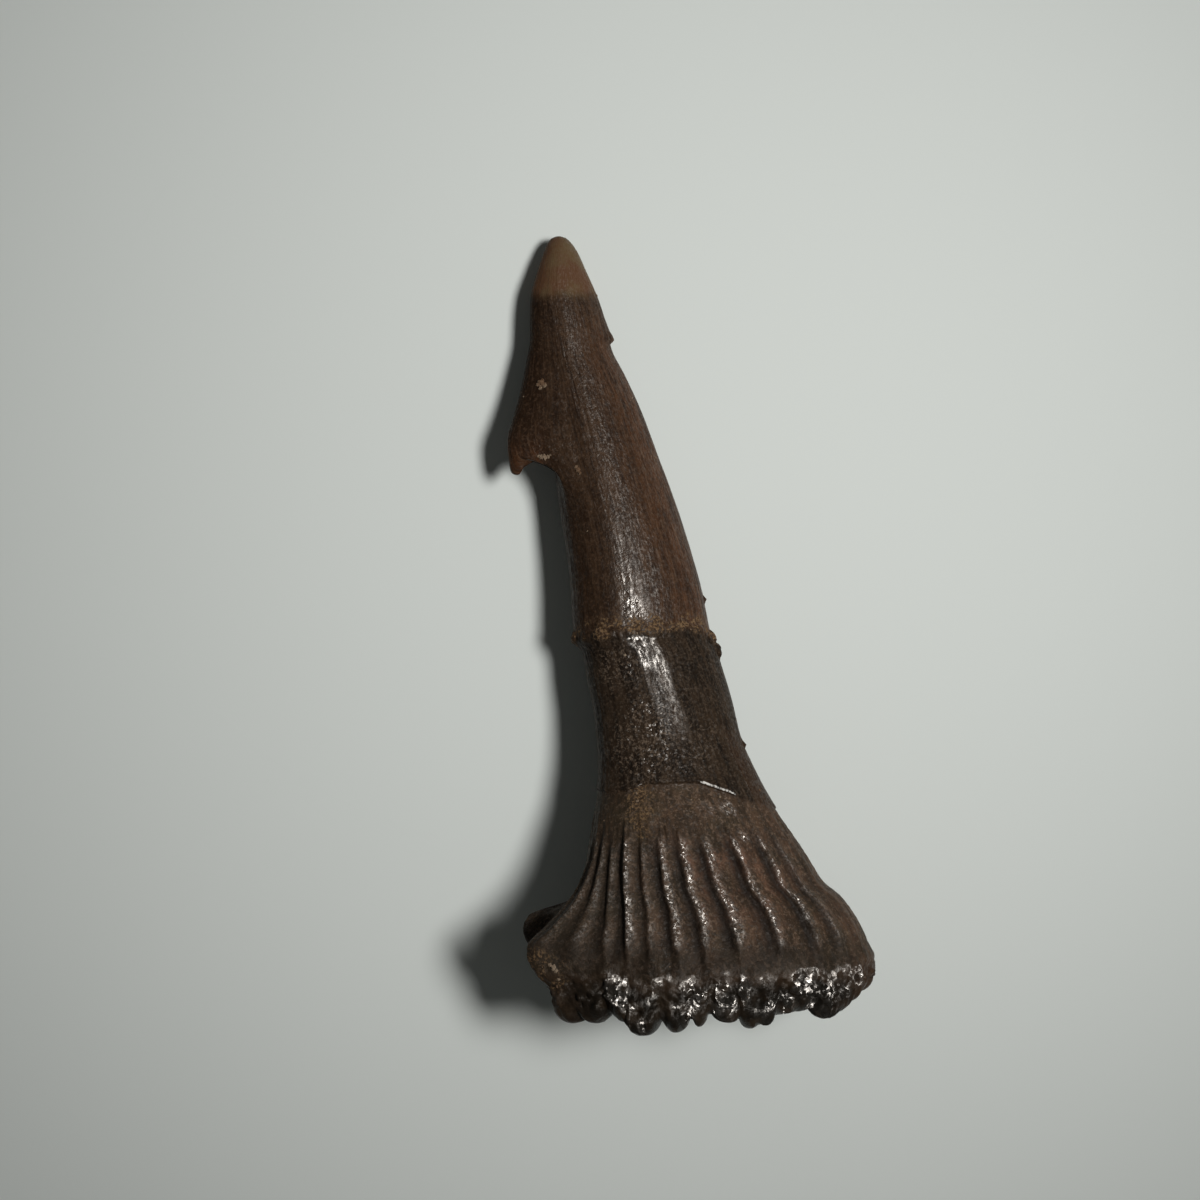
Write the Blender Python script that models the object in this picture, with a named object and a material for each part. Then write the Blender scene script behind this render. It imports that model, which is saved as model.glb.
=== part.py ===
"""Fossil rostral tooth of a barbed sawfish, lying on its side.

The tooth grew as one piece, so it is one solid: an enamelled crown with a single barb, a neck, and a fluted
base with a knobbly rim round a hollow basal face. A healed break crosses the crown.

+Y points to the tip, +X to the front (anterior) edge, +Z up, and the floor is z = 0. Sizes are in
millimetres. A station is the distance from the tip towards the base. An angle goes round a section, in
degrees: 0 is the front edge, 90 the upper face, 180 the rear edge with the barb, and 270 the lower face.
"""

import math

import bmesh
import bpy
import numpy as np

MM = 0.001
NAME = "sawfish_tooth"

TIP_Y = 25.77  # puts the middle of the tooth's box over the origin

# Edges of the crown, neck and base as (station, x).
FRONT_EDGE = (
    (0.0, -8.4), (0.12, -8.17), (0.39, -7.84), (1.0, -7.4), (2.3, -6.8), (4.3, -5.93), (6.0, -5.4),
    (7.6, -5.02), (9.3, -4.2), (12.2, -2.92), (15.0, -1.88), (18.8, -0.5), (22.7, 0.65), (26.4, 1.45),
    (27.3, 1.78), (30.5, 2.73), (33.1, 3.38), (35.7, 4.58), (38.2, 6.02), (40.8, 7.7), (42.1, 8.5),
    (43.3, 9.86), (45.8, 11.32), (47.4, 11.75), (51.0, 11.8),
)
REAR_EDGE = (
    (0.0, -8.75), (0.12, -8.95), (0.39, -9.22), (1.0, -9.5), (2.3, -9.95), (4.3, -10.42), (7.6, -10.1),
    (10.9, -9.7), (14.2, -9.2), (17.5, -8.6), (22.7, -7.82), (26.7, -7.52), (27.25, -7.1), (29.2, -6.7),
    (31.8, -6.2), (35.0, -6.0), (36.8, -6.25), (38.2, -6.35), (40.8, -6.7), (43.3, -7.0), (46.4, -7.4),
    (51.0, -7.9),
)

# Heights over the floor as (station, z): the upper face, the edges' level and the lower face.
UPPER_FACE = (
    (0.0, 1.45), (0.35, 1.8), (1.0, 2.15), (2.3, 2.6), (4.3, 3.05), (9.0, 3.75), (14.0, 4.5), (20.0, 5.25),
    (26.6, 5.95), (33.0, 7.2), (36.0, 7.95), (39.5, 9.0), (43.3, 10.2), (46.4, 11.3), (48.5, 11.7),
    (51.0, 11.8),
)
EDGE_LEVEL = (
    (0.0, 1.2), (1.0, 1.3), (4.3, 1.65), (14.0, 2.2), (20.0, 2.6), (26.6, 3.1), (33.0, 4.0), (36.0, 4.5),
    (39.5, 5.0), (43.3, 5.7), (46.4, 6.1), (51.0, 6.2),
)
LOWER_FACE = (
    (0.0, 0.95), (0.35, 0.65), (1.0, 0.35), (2.3, 0.1), (4.3, -0.06), (6.5, -0.04), (9.0, 0.1), (14.0, 0.2),
    (20.0, 0.3), (26.6, 0.5), (33.0, 0.95), (36.0, 1.15), (39.5, 1.1), (43.3, 0.85), (46.4, 0.6),
    (51.0, 0.55),
)
ROLL = math.tan(math.radians(10.0))  # the tooth lies rolled, with its rear edge raised
EDGE_SHARPNESS = (
    (0.0, 0.1), (3.0, 0.3), (8.0, 0.45), (15.0, 0.5), (22.0, 0.15), (35.0, 0.0), (44.0, -0.2), (51.0, -0.25),
)

# The barb on the rear edge: how far it reaches past the body, how far its thin hooked point sinks towards the
# base, and how far the rows behind it lift towards the tip, which undercuts it. Each is (station, distance).
BARB_REACH = (
    (4.3, 0.0), (6.8, 0.25), (8.3, 0.65), (10.9, 1.5), (12.2, 2.05), (13.5, 2.6), (14.2, 2.72), (14.6, 2.7),
    (14.85, 2.66), (15.0, 2.55), (15.1, 2.32), (15.2, 2.14), (15.3, 2.07), (15.4, 1.79), (15.5, 1.48),
    (15.6, 1.18), (15.75, 0.57), (15.9, 0.0),
)
BARB_HOOK = (
    (14.3, 0.0), (14.6, 0.22), (14.85, 0.6), (15.0, 0.94), (15.1, 1.02), (15.2, 0.93), (15.3, 0.63),
    (15.4, 0.38), (15.5, 0.17), (15.6, 0.0),
)
BARB_LIFT = (
    (14.5, 0.0), (15.0, -0.2), (15.6, -0.71), (15.8, -0.92), (16.1, -0.92), (16.8, -0.45), (17.5, 0.0),
)
BARB_ROOT = 0.4  # share of the half width where the barb's blade starts
HOOK_ROOT, HOOK_WHOLE = 0.9, 0.99  # shares where the sinking of its point starts and is whole
LIFT_WHOLE = 0.75  # share where the lift behind it is whole

# A chip's corner on the front edge: its (station, height) at the edge, and how far round the edge it goes.
CHIP = ((5.4, 0.0), (6.3, 0.1), (6.85, 0.3), (7.15, -0.06), (8.6, 0.0))
CHIP_SPREAD = 22.0

# The two flanges at the rear of the base, with a groove between them: (station, reach).
UPPER_FLANGE = (
    (40.5, 0.0), (42.0, 0.5), (43.3, 1.3), (44.5, 2.35), (45.8, 3.45), (46.4, 3.35), (47.4, 2.65),
    (48.2, 1.72), (49.0, 1.35), (49.8, 1.25), (51.0, 1.2),
)
LOWER_FLANGE = (
    (42.6, 0.0), (43.3, 1.0), (43.8, 2.7), (44.2, 3.7), (45.1, 3.95), (46.4, 3.35), (48.2, 2.0), (51.0, 1.2),
)
UPPER_FLANGE_ANGLE = 163.0
LOWER_FLANGE_ANGLE = 199.0
FLANGE_SPREAD = 14.0
ROLL_KEPT_BELOW = 0.15  # share of the roll that the middle of the lower face keeps

# The healed break: the line that it follows as (angle, station), and its crust.
BREAK_LINE = (
    (0.0, 26.9), (20.0, 26.3), (45.0, 25.8), (90.0, 26.0), (120.0, 26.2), (180.0, 26.7), (240.0, 26.9),
    (300.0, 27.1), (360.0, 26.9),
)
BREAK_MIDDLE = 26.4
CRUST_HEIGHT = 0.14
CRUST_SPREAD = 0.35

# The end of the crown's sheath: its line as (angle, station), and the step down off it.
SHEATH_LINE = (
    (0.0, 37.4), (30.0, 37.0), (52.0, 36.4), (70.0, 35.8), (80.0, 35.5), (116.0, 35.6), (124.0, 35.95),
    (180.0, 36.1), (220.0, 35.8), (270.0, 36.0), (330.0, 37.0), (360.0, 37.4),
)
SHEATH_MIDDLE = 36.2
SHEATH_STEP = 0.2
SHEATH_EDGE = 0.35
SHEATH_FADE = (0.5, 2.2)
SHEATH_BARE = (24.0, 20.0)  # the angle round which the step is worn away, and how far that goes
LINE_REACH = 2.6  # how far along the tooth the surface's rows bend to follow the two lines

# The flutes of the base: crests as (angle, spread of the steep side, spread of the gentle side, height), and
# where along the base they run. The steep side faces the greater angles.
FLUTES = (
    (22.0, 3.0, 7.0, 0.16), (37.6, 3.2, 8.0, 0.28), (50.6, 3.5, 10.0, 0.42), (68.1, 4.0, 13.0, 0.5),
    (84.6, 3.8, 12.5, 0.48), (97.6, 3.4, 9.5, 0.42), (109.0, 3.6, 8.5, 0.44), (120.4, 3.0, 7.0, 0.26),
    (130.6, 3.6, 7.5, 0.44), (141.0, 3.0, 6.0, 0.28), (150.0, 3.0, 6.0, 0.26), (158.0, 3.0, 5.0, 0.24),
    (167.0, 3.0, 5.0, 0.2), (194.0, 4.0, 7.0, 0.28), (206.0, 4.0, 8.0, 0.34), (218.5, 4.5, 8.0, 0.4),
    (231.0, 4.0, 8.0, 0.34), (243.5, 4.5, 8.0, 0.44), (256.0, 4.0, 8.0, 0.36), (268.5, 4.5, 8.0, 0.42),
    (281.0, 4.0, 8.0, 0.36), (294.0, 4.5, 8.0, 0.44), (306.5, 4.0, 8.0, 0.36), (319.0, 4.5, 8.0, 0.4),
    (332.0, 4.0, 8.0, 0.3), (345.0, 4.0, 8.0, 0.2),
)
FLUTE_RUN = ((38.0, 0.0), (39.2, 0.45), (40.8, 1.0), (44.8, 1.0), (46.6, 0.25), (47.5, 0.0))

# The rim: valleys between its knobs as (angle, station), the knobs as (angle, half spread, drop, swell). The
# knobs start at an uneven line.
RIM_START = 46.0
RIM_NOMINAL = 50.2
RIM_VALLEYS = (
    (0.0, 48.5), (20.0, 49.1), (26.0, 49.25), (30.0, 49.4), (36.0, 49.75), (53.0, 49.85), (61.0, 49.85),
    (69.5, 50.1), (84.0, 50.15), (96.5, 49.88), (103.0, 50.15), (114.0, 50.2), (131.0, 50.15),
    (141.5, 49.85), (152.0, 50.15), (160.0, 50.05), (180.0, 49.4), (200.0, 49.6), (230.0, 50.0),
    (270.0, 50.2), (310.0, 49.9), (340.0, 49.1), (360.0, 48.5),
)
KNOBS = (
    (8.0, 8.0, 0.28, 0.2), (28.0, 6.0, 0.3, 0.3), (36.5, 4.5, 0.4, 0.3), (45.0, 6.8, 0.68, 0.45),
    (61.0, 5.0, 0.06, 0.35), (74.2, 3.4, 0.55, 0.36), (80.4, 4.3, 0.68, 0.42), (90.3, 5.0, 0.38, 0.42),
    (99.8, 2.7, 0.6, 0.36), (109.7, 5.2, 0.78, 0.42), (124.2, 7.8, 1.02, 0.52), (135.0, 4.4, 0.26, 0.4),
    (147.3, 4.9, 0.46, 0.36), (166.0, 12.0, 0.6, 0.26),
    (197.0, 10.0, 0.5, 0.3), (214.0, 8.0, 0.55, 0.4), (231.0, 8.0, 0.6, 0.45), (246.0, 9.0, 0.75, 0.95),
    (264.0, 7.0, 0.5, 0.3), (278.0, 7.0, 0.6, 0.3), (295.0, 10.0, 0.7, 0.95), (312.0, 7.0, 0.55, 0.4),
    (328.0, 8.0, 0.5, 0.35), (345.0, 8.0, 0.4, 0.25),
)
KNOB_RUN = ((46.4, 0.0), (47.6, 0.8), (48.6, 1.0), (51.0, 1.0))
KNOB_START_WAVE = 0.45
KNOB_START_TURNS = 7
RIM_RADIUS = 1.15  # of the lip that turns under to the basal face
HOLLOW_DEPTH = 3.3  # of the basal face below the rim
HOLLOW_BOWL = 2.4  # power of the bowl's curve
HOLLOW_FOLD = 1.05

# Sampling of the surface, and its share of triangles that the finished solid keeps.
COLUMNS = 144
ROW_RUNS = (
    (0.05, 1.0, 4), (1.0, 6.0, 5), (6.0, 7.6, 4), (7.6, 13.4, 5), (13.4, 14.6, 5), (14.6, 16.2, 24),
    (16.2, 17.5, 6), (17.5, 25.6, 7), (25.6, 27.6, 10), (27.6, 35.6, 7), (35.6, 37.0, 8), (37.0, 46.4, 15),
    (46.4, RIM_NOMINAL - RIM_RADIUS, 5),
)
LIP_ANGLES = (20.0, 42.0, 66.0, 90.0, 118.0, 150.0)
HOLLOW_SHARES = (0.86, 0.7, 0.52, 0.33, 0.15, 0.04)
KEPT_SHARE = 0.292

FLOOR_BLOCK = (60.0, 90.0, 4.0)  # the block under the floor that planes the contact points flat

COLOUR = (0.045, 0.028, 0.02, 1.0)
ROUGHNESS = 0.38


def clear_scene():
    """Remove whatever the scene holds."""
    for obj in list(bpy.data.objects):
        bpy.data.objects.remove(obj, do_unlink=True)


def smooth_curve(points):
    """Return a function that reads a monotone cubic curve through (place, value) points."""
    place, value = np.array(points, dtype=float).T
    gap = np.diff(place)
    slope = np.diff(value) / gap
    tangent = np.zeros_like(value)
    for i in range(1, len(value) - 1):
        if slope[i - 1] * slope[i] > 0:
            near, far = 2 * gap[i] + gap[i - 1], gap[i] + 2 * gap[i - 1]
            tangent[i] = (near + far) / (near / slope[i - 1] + far / slope[i])
    tangent[0], tangent[-1] = slope[0], slope[-1]

    def read(at):
        at = np.clip(at, place[0], place[-1])
        i = np.clip(np.searchsorted(place, at, side="right") - 1, 0, len(gap) - 1)
        u = (at - place[i]) / gap[i]
        rise = (3 - 2 * u) * u * u
        ease = (tangent[i] * (1 - u) - tangent[i + 1] * u) * u * (1 - u) * gap[i]
        return value[i] * (1 - rise) + value[i + 1] * rise + ease

    return read


def step(low, high, at):
    """Return a smooth rise from 0 at low to 1 at high."""
    u = np.clip((at - low) / (high - low), 0, 1)
    return u * u * (3 - 2 * u)


def turn_between(angle, centre):
    """Return the signed turn from centre to angle, in degrees."""
    return (angle - centre + 180.0) % 360.0 - 180.0


def bump(angle, centre, spread):
    """Return a soft bump round centre."""
    return np.exp(-((turn_between(angle, centre) / spread) ** 2))


def round_lobes(angle, lobes):
    """Return the height of a row of round lobes with sharp valleys, each (angle, half spread, height)."""
    height = np.zeros_like(angle)
    for centre, half_spread, tall in lobes:
        off = np.clip(np.abs(turn_between(angle, centre)) / half_spread, 0, 1)
        height = np.maximum(height, tall * np.sqrt(1 - off * off))
    return height


def flutes(angle):
    """Return the height of the flutes, each with a rounded crest, a steep side and a gentle side."""
    height = np.zeros_like(angle)
    for centre, steep, gentle, tall in FLUTES:
        off = turn_between(angle, centre)
        share = np.clip(np.where(off > 0, off / steep, -off / gentle), 0, 1)
        height = np.maximum(height, tall * (1 + np.cos(np.pi * share)) / 2)
    return height


def body_section(station, angle):
    """Return x, z and the outward direction (nx, nz) of the plain body, without flutes and knobs."""
    rear, front = smooth_curve(REAR_EDGE)(station), smooth_curve(FRONT_EDGE)(station)
    half = (front - rear) / 2
    along, across = np.cos(np.radians(angle)), np.sin(np.radians(angle))
    blade = smooth_curve(BARB_REACH)(station) * step(BARB_ROOT, 1.0, -along)
    flanges = smooth_curve(UPPER_FLANGE)(station) * bump(angle, UPPER_FLANGE_ANGLE, FLANGE_SPREAD)
    flanges = flanges + smooth_curve(LOWER_FLANGE)(station) * bump(angle, LOWER_FLANGE_ANGLE, FLANGE_SPREAD)
    x = (front + rear) / 2 + half * along - blade - flanges

    level = smooth_curve(EDGE_LEVEL)(station)
    above = smooth_curve(UPPER_FACE)(station) - level
    below = level - smooth_curve(LOWER_FACE)(station)
    height = np.where(across > 0, above, below)
    rise = np.sign(across) * np.abs(across) ** (1 + smooth_curve(EDGE_SHARPNESS)(station))
    rolled = ROLL * (blade + flanges - half * along)
    rolled = rolled * np.where(across > 0, 1.0, 1 - (1 - ROLL_KEPT_BELOW) * across * across)
    z = level + height * rise + rolled

    nx, nz = height * along, half * across
    length = np.hypot(nx, nz)
    return x, z, nx / length, nz / length


def relief(station, angle):
    """Return how far crust, sheath's end, flutes, knobs and chip stand out from the body."""
    past_break = station - smooth_curve(BREAK_LINE)(angle)
    crust = CRUST_HEIGHT * np.exp(-((past_break / CRUST_SPREAD) ** 2))
    past_sheath = station - smooth_curve(SHEATH_LINE)(angle)
    kept = (1 - step(*SHEATH_FADE, past_sheath)) * (1 - bump(angle, *SHEATH_BARE))
    sheath = -SHEATH_STEP * step(0.0, SHEATH_EDGE, past_sheath) * kept
    fluted = flutes(angle) * smooth_curve(FLUTE_RUN)(station)
    swells = [(centre, spread, swell) for centre, spread, _, swell in KNOBS]
    wave = KNOB_START_WAVE * np.sin(np.radians(angle * KNOB_START_TURNS))
    knobs = round_lobes(angle, swells) * smooth_curve(KNOB_RUN)(station + wave)
    chip = smooth_curve(CHIP)(station) * bump(angle, 0.0, CHIP_SPREAD)
    return crust + sheath + fluted + knobs + chip


def rim_station(angle):
    """Return the station where the rim ends, with its knobs."""
    drops = [(centre, spread, drop) for centre, spread, drop, _ in KNOBS]
    return smooth_curve(RIM_VALLEYS)(angle) + round_lobes(angle, drops)


def bend_to_line(row, angle, line, middle):
    """Return how far a row moves to follow a line round the tooth, fading with the row's distance from it."""
    near = np.clip(1 - ((row - middle) / LINE_REACH) ** 2, 0, 1)
    return (smooth_curve(line)(angle) - middle) * near * near


def wall(row, angle, inset=0.0):
    """Return the points of the outer wall, pulled in by inset."""
    to_break = bend_to_line(row, angle, BREAK_LINE, BREAK_MIDDLE)
    to_sheath = bend_to_line(row, angle, SHEATH_LINE, SHEATH_MIDDLE)
    row = row + to_break + to_sheath
    x, z, nx, nz = body_section(row, angle)
    out = relief(row, angle) - inset
    stretch = (rim_station(angle) - RIM_START) / (RIM_NOMINAL - RIM_START)
    station = np.where(row > RIM_START, RIM_START + (row - RIM_START) * stretch, row)
    rearward = -np.cos(np.radians(angle))
    hook = smooth_curve(BARB_HOOK)(row) * step(HOOK_ROOT, HOOK_WHOLE, rearward)
    lift = smooth_curve(BARB_LIFT)(row) * step(BARB_ROOT, LIFT_WHOLE, rearward)
    return x + nx * out, TIP_Y - station - hook - lift, z + nz * out


def lip(turned, angle):
    """Return the points of the rim's lip, which turns under by an angle from the wall's own direction."""
    inset = RIM_RADIUS * (1 - math.cos(math.radians(turned)))
    x, y, z = wall(np.full_like(angle, RIM_NOMINAL), angle, inset)
    return x, y + RIM_RADIUS * (1 - math.sin(math.radians(turned))), z


def hollow(share, angle):
    """Return the points of a ring on the hollow basal face, as a share of the way out from its middle."""
    x, y, z = lip(LIP_ANGLES[-1], angle)
    middle_x, middle_z = x.mean(), z.mean()
    floor_y = y.mean() + HOLLOW_DEPTH - RIM_RADIUS / 2
    folds = HOLLOW_FOLD * (flutes(angle) / flutes(angle).max() - 0.5) * share * (1 - share)
    bowl = share**HOLLOW_BOWL
    return (
        middle_x + (x - middle_x) * share,
        floor_y + (y - floor_y) * bowl - folds,
        middle_z + (z - middle_z) * share,
    )


def rings():
    """Return every ring of points from the tip, round the lip, to the middle of the basal face."""
    angle = np.arange(COLUMNS) * 360.0 / COLUMNS
    stations = [np.linspace(start, end, count, endpoint=False) for start, end, count in ROW_RUNS]
    found = [wall(np.full_like(angle, row), angle) for row in np.concatenate(stations)]
    found += [lip(turned, angle) for turned in LIP_ANGLES]
    found += [hollow(share, angle) for share in HOLLOW_SHARES]
    return [np.column_stack(ring) for ring in found]


def loft(all_rings):
    """Extrude a circle from ring to ring, and close both ends."""
    bm = bmesh.new()
    made = bmesh.ops.create_circle(bm, cap_ends=True, cap_tris=False, segments=COLUMNS, radius=MM)
    verts = made["verts"]
    edges = list(bm.edges)
    for number, ring in enumerate(all_rings):
        if number:
            made = bmesh.ops.extrude_edge_only(bm, edges=edges)
            edges = [item for item in made["geom"] if isinstance(item, bmesh.types.BMEdge)]
            new = {item for item in made["geom"] if isinstance(item, bmesh.types.BMVert)}
            verts = [next(e.other_vert(v) for e in v.link_edges if e.other_vert(v) in new) for v in verts]
        for vert, place in zip(verts, ring):
            vert.co = place * MM
    bmesh.ops.holes_fill(bm, edges=edges)
    bmesh.ops.recalc_face_normals(bm, faces=bm.faces)
    mesh = bpy.data.meshes.new(NAME)
    bm.to_mesh(mesh)
    bm.free()
    return mesh


def fossil_material():
    """Return the dark, glossy brown of the fossil."""
    material = bpy.data.materials.new("fossil_enamel")
    material.use_nodes = True
    shader = material.node_tree.nodes["Principled BSDF"]
    shader.inputs["Base Color"].default_value = COLOUR
    shader.inputs["Roughness"].default_value = ROUGHNESS
    shader.inputs["Metallic"].default_value = 0.0
    return material


def collection(name, hidden=False):
    """Return a new collection in the scene."""
    made = bpy.data.collections.new(name)
    made.hide_render = hidden
    bpy.context.scene.collection.children.link(made)
    return made


def floor_cutter(cutters):
    """Return a block under the floor."""
    mesh = bpy.data.meshes.new("floor_cutter")
    bm = bmesh.new()
    bmesh.ops.create_cube(bm, size=1.0)
    bmesh.ops.scale(bm, vec=[side * MM for side in FLOOR_BLOCK], verts=bm.verts)
    bmesh.ops.translate(bm, vec=(0.0, 0.0, -FLOOR_BLOCK[2] * MM / 2), verts=bm.verts)
    bm.to_mesh(mesh)
    bm.free()
    block = bpy.data.objects.new("floor_cutter", mesh)
    block.hide_render = True
    cutters.objects.link(block)
    return block


def build_tooth():
    """Make the tooth, thin out its mesh, and plane its contact points flat on the floor."""
    tooth = bpy.data.objects.new(NAME, loft(rings()))
    tooth.data.materials.append(fossil_material())
    collection(NAME).objects.link(tooth)
    thin = tooth.modifiers.new("thin_out", "DECIMATE")
    thin.ratio = KEPT_SHARE
    plane = tooth.modifiers.new("contact_points", "BOOLEAN")
    plane.operation = "DIFFERENCE"
    plane.solver = "EXACT"
    plane.object = floor_cutter(collection("cutters", hidden=True))
    return tooth


clear_scene()
build_tooth()
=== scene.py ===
"""Dressed model of a fossil rostral tooth of a barbed sawfish, lying on its side on a pale floor.

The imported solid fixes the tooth's size and place. This script builds the fine surface on the same driving curves
and dresses it. Sizes are in millimetres until a mesh is written; +Y points to the tip, +X to the front edge, and
the floor is z = 0. A station is the distance from the tip towards the base. An angle goes round a section, in
degrees: 0 at the front edge, 90 on the upper face, 180 at the rear edge with the barb, 270 underneath.
"""

import logging
import math
import random
from dataclasses import dataclass, field
from enum import Enum
from functools import cached_property

import bmesh
import bpy
import numpy as np
from mathutils import Euler, Matrix, Vector, noise
from mathutils.bvhtree import BVHTree


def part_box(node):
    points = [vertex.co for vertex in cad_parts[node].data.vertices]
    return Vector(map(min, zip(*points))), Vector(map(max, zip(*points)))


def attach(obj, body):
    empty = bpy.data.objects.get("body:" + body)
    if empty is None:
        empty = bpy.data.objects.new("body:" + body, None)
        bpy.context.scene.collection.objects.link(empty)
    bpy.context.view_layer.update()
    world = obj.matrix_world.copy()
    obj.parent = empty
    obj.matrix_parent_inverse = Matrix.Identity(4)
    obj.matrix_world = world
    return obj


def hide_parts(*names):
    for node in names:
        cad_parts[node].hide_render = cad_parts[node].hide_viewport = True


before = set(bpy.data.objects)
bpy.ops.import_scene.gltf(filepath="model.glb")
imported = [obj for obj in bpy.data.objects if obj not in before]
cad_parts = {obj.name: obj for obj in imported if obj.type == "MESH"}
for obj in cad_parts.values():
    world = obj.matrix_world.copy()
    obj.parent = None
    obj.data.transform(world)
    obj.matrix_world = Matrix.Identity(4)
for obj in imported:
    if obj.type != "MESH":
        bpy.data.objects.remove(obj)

log = logging.getLogger("sawfish_tooth")

Field = np.ndarray
Rows = tuple[tuple[float, ...], ...]
Colour = tuple[float, float, float]
Socket = bpy.types.NodeSocket

MM = 0.001
NODE = "sawfish_tooth"
BODY = "root"
LANE = "lane"  # attribute with the coordinates that run along the tooth
CROWN_GIRTH = 5.0  # radius of the circle that stands for a section of crown or neck, in millimetres
BASE_GIRTH = 9.0  # the same for the fluted base
TALL_FLUTE = 0.4  # height from which a flute counts in full, in millimetres
LUMP_STEP = (17.3, -5.7, 11.9)  # how far apart in the noise two seeds read
GRAIN_STEP = (-7.1, 3.3, 9.7)
LUMP_SOFT = 0.8  # how much weaker each finer octave is
CREASE_STEEP = 2.6
GRAIN_STEEP = 1.6
UPWARD_EDGE = 0.25  # sine of the angle from which a face counts as turned up


class Zone(Enum):
    """Parts of the surface that have a finish of their own, each a point attribute of the mesh."""

    TIP = "tip"
    NECK = "neck"
    WARM = "warm"
    SAND = "sand"
    FLUTED = "fluted"
    # Painted shade at the foot of each flute's steep side.
    GROOVE_SHADE = "groove"
    RIM = "rim"
    GRAIN = "grain"
    POLISH = "polish"
    # Partly the tooth's own darker tone, partly painted shade on the rear and lower side, which face away from the
    # lamp.
    DARK_AND_SHADE = "dark"
    # The pale hairline of the crack, and a painted highlight along the ledge's lip.
    PALE_AND_HIGHLIGHT = "pale"


# ---------------------------------------------------------------- shaping helpers


def rise(low: float, high: float, at: Field) -> Field:
    """Rise smoothly from 0 to 1.

    Args:
        low: Place where the rise starts.
        high: Place where it ends.
        at: Places to read.

    Returns:
        The share of the rise at each place.
    """
    share = np.clip((at - low) / (high - low), 0.0, 1.0)
    return share * share * (3.0 - 2.0 * share)


def turn(angle: Field, centre: float) -> Field:
    """Return the signed turn from centre to each angle, in degrees."""
    return (angle - centre + 180.0) % 360.0 - 180.0


def hill(offset: Field, spread: float) -> Field:
    """Return a soft hill of height 1, spread being where it has fallen to 0.37."""
    return np.exp(-((offset / spread) ** 2))


def lumps(points: Field, size: float, seed: int, octaves: int = 3) -> Field:
    """Read soft fractal noise.

    Args:
        points: Points to read.
        size: Width of the largest lumps.
        seed: Picks one pattern among many.
        octaves: How many sizes of lump are added up.

    Returns:
        The noise at each point, mostly between -1 and 1.
    """
    shift = Vector([step * seed for step in LUMP_STEP])
    flat = points.reshape(-1, 3) / size
    read = [noise.fractal(Vector(point) + shift, LUMP_SOFT, 2.0, octaves) for point in flat.tolist()]
    return np.array(read).reshape(points.shape[:-1])


def creases(points: Field, size: float, seed: int, octaves: int = 2) -> Field:
    """Read noise like crumpled foil.

    Args:
        points: Points to read.
        size: Width of the largest facets.
        seed: Picks one pattern among many.
        octaves: How many sizes of crease are added up.

    Returns:
        The height at each point, 1 on the sharp ridges and below 0 in the hollows between them.
    """
    return 1.0 - CREASE_STEEP * np.abs(lumps(points, size, seed, octaves))


def grains(points: Field, size: float, seed: int) -> Field:
    """Read a crowd of small round grains.

    Args:
        points: Points to read.
        size: Distance between neighbouring grains.
        seed: Picks one pattern among many.

    Returns:
        0 between the grains to 1 on top of each.
    """
    shift = Vector([step * seed for step in GRAIN_STEP])
    flat = points.reshape(-1, 3) / size
    near = [noise.voronoi(Vector(point) + shift)[0][0] for point in flat.tolist()]
    return np.clip(1.0 - GRAIN_STEEP * np.array(near), 0.0, 1.0).reshape(points.shape[:-1])


def lane_points(station: Field, angle: Field, girth: float, pull: float) -> Field:
    """Give coordinates for patterns that are drawn out along the tooth.

    Args:
        station: Distance of each point from the tip.
        angle: Its angle round the section.
        girth: Radius of the circle that stands for every section.
        pull: How many times longer a pattern gets along the tooth.

    Returns:
        The coordinates of each point.
    """
    turned = np.radians(angle)
    return np.stack((girth * np.cos(turned), station / pull, girth * np.sin(turned)), axis=-1)


@dataclass(frozen=True)
class Curve:
    """A smooth curve through (place, value) points that doesn't overshoot between them."""

    points: Rows

    def at(self, place: Field) -> Field:
        """Read the curve.

        Args:
            place: Places to read; past the ends, the end values hold.

        Returns:
            The curve's value at each place.
        """
        known, value = np.array(self.points, dtype=float).T
        gap = np.diff(known)
        slope = np.diff(value) / gap
        tangent = np.concatenate((slope[:1], np.zeros(len(slope) - 1), slope[-1:]))
        before, after = slope[:-1], slope[1:]
        same_way = before * after > 0
        near, far = 2 * gap[1:] + gap[:-1], gap[1:] + 2 * gap[:-1]
        steady = (near + far) / (near / np.where(same_way, before, 1) + far / np.where(same_way, after, 1))
        tangent[1:-1] = np.where(same_way, steady, 0.0)
        place = np.clip(place, known[0], known[-1])
        i = np.clip(np.searchsorted(known, place, side="right") - 1, 0, len(gap) - 1)
        u = (place - known[i]) / gap[i]
        climbed = (3 - 2 * u) * u * u
        ease = (tangent[i] * (1 - u) - tangent[i + 1] * u) * u * (1 - u) * gap[i]
        return value[i] * (1 - climbed) + value[i + 1] * climbed + ease


@dataclass(frozen=True)
class Patchy:
    """A level that soft noise raises and lowers from place to place."""

    size: float
    seed: int
    swing: float = 1.0
    level: float = 0.0
    octaves: int = 3

    def at(self, points: Field) -> Field:
        """Return the level at each point."""
        return self.level + self.swing * lumps(points, self.size, self.seed, self.octaves)


@dataclass(frozen=True)
class Reach:
    """A stretch with soft ends: where it starts and is full, and where it fades and is gone."""

    start: float
    full: float
    fade: float
    gone: float

    def at(self, place: Field) -> Field:
        """Return the share of the stretch at each place, from 0 to 1."""
        return rise(self.start, self.full, place) * (1 - rise(self.fade, self.gone, place))


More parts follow.
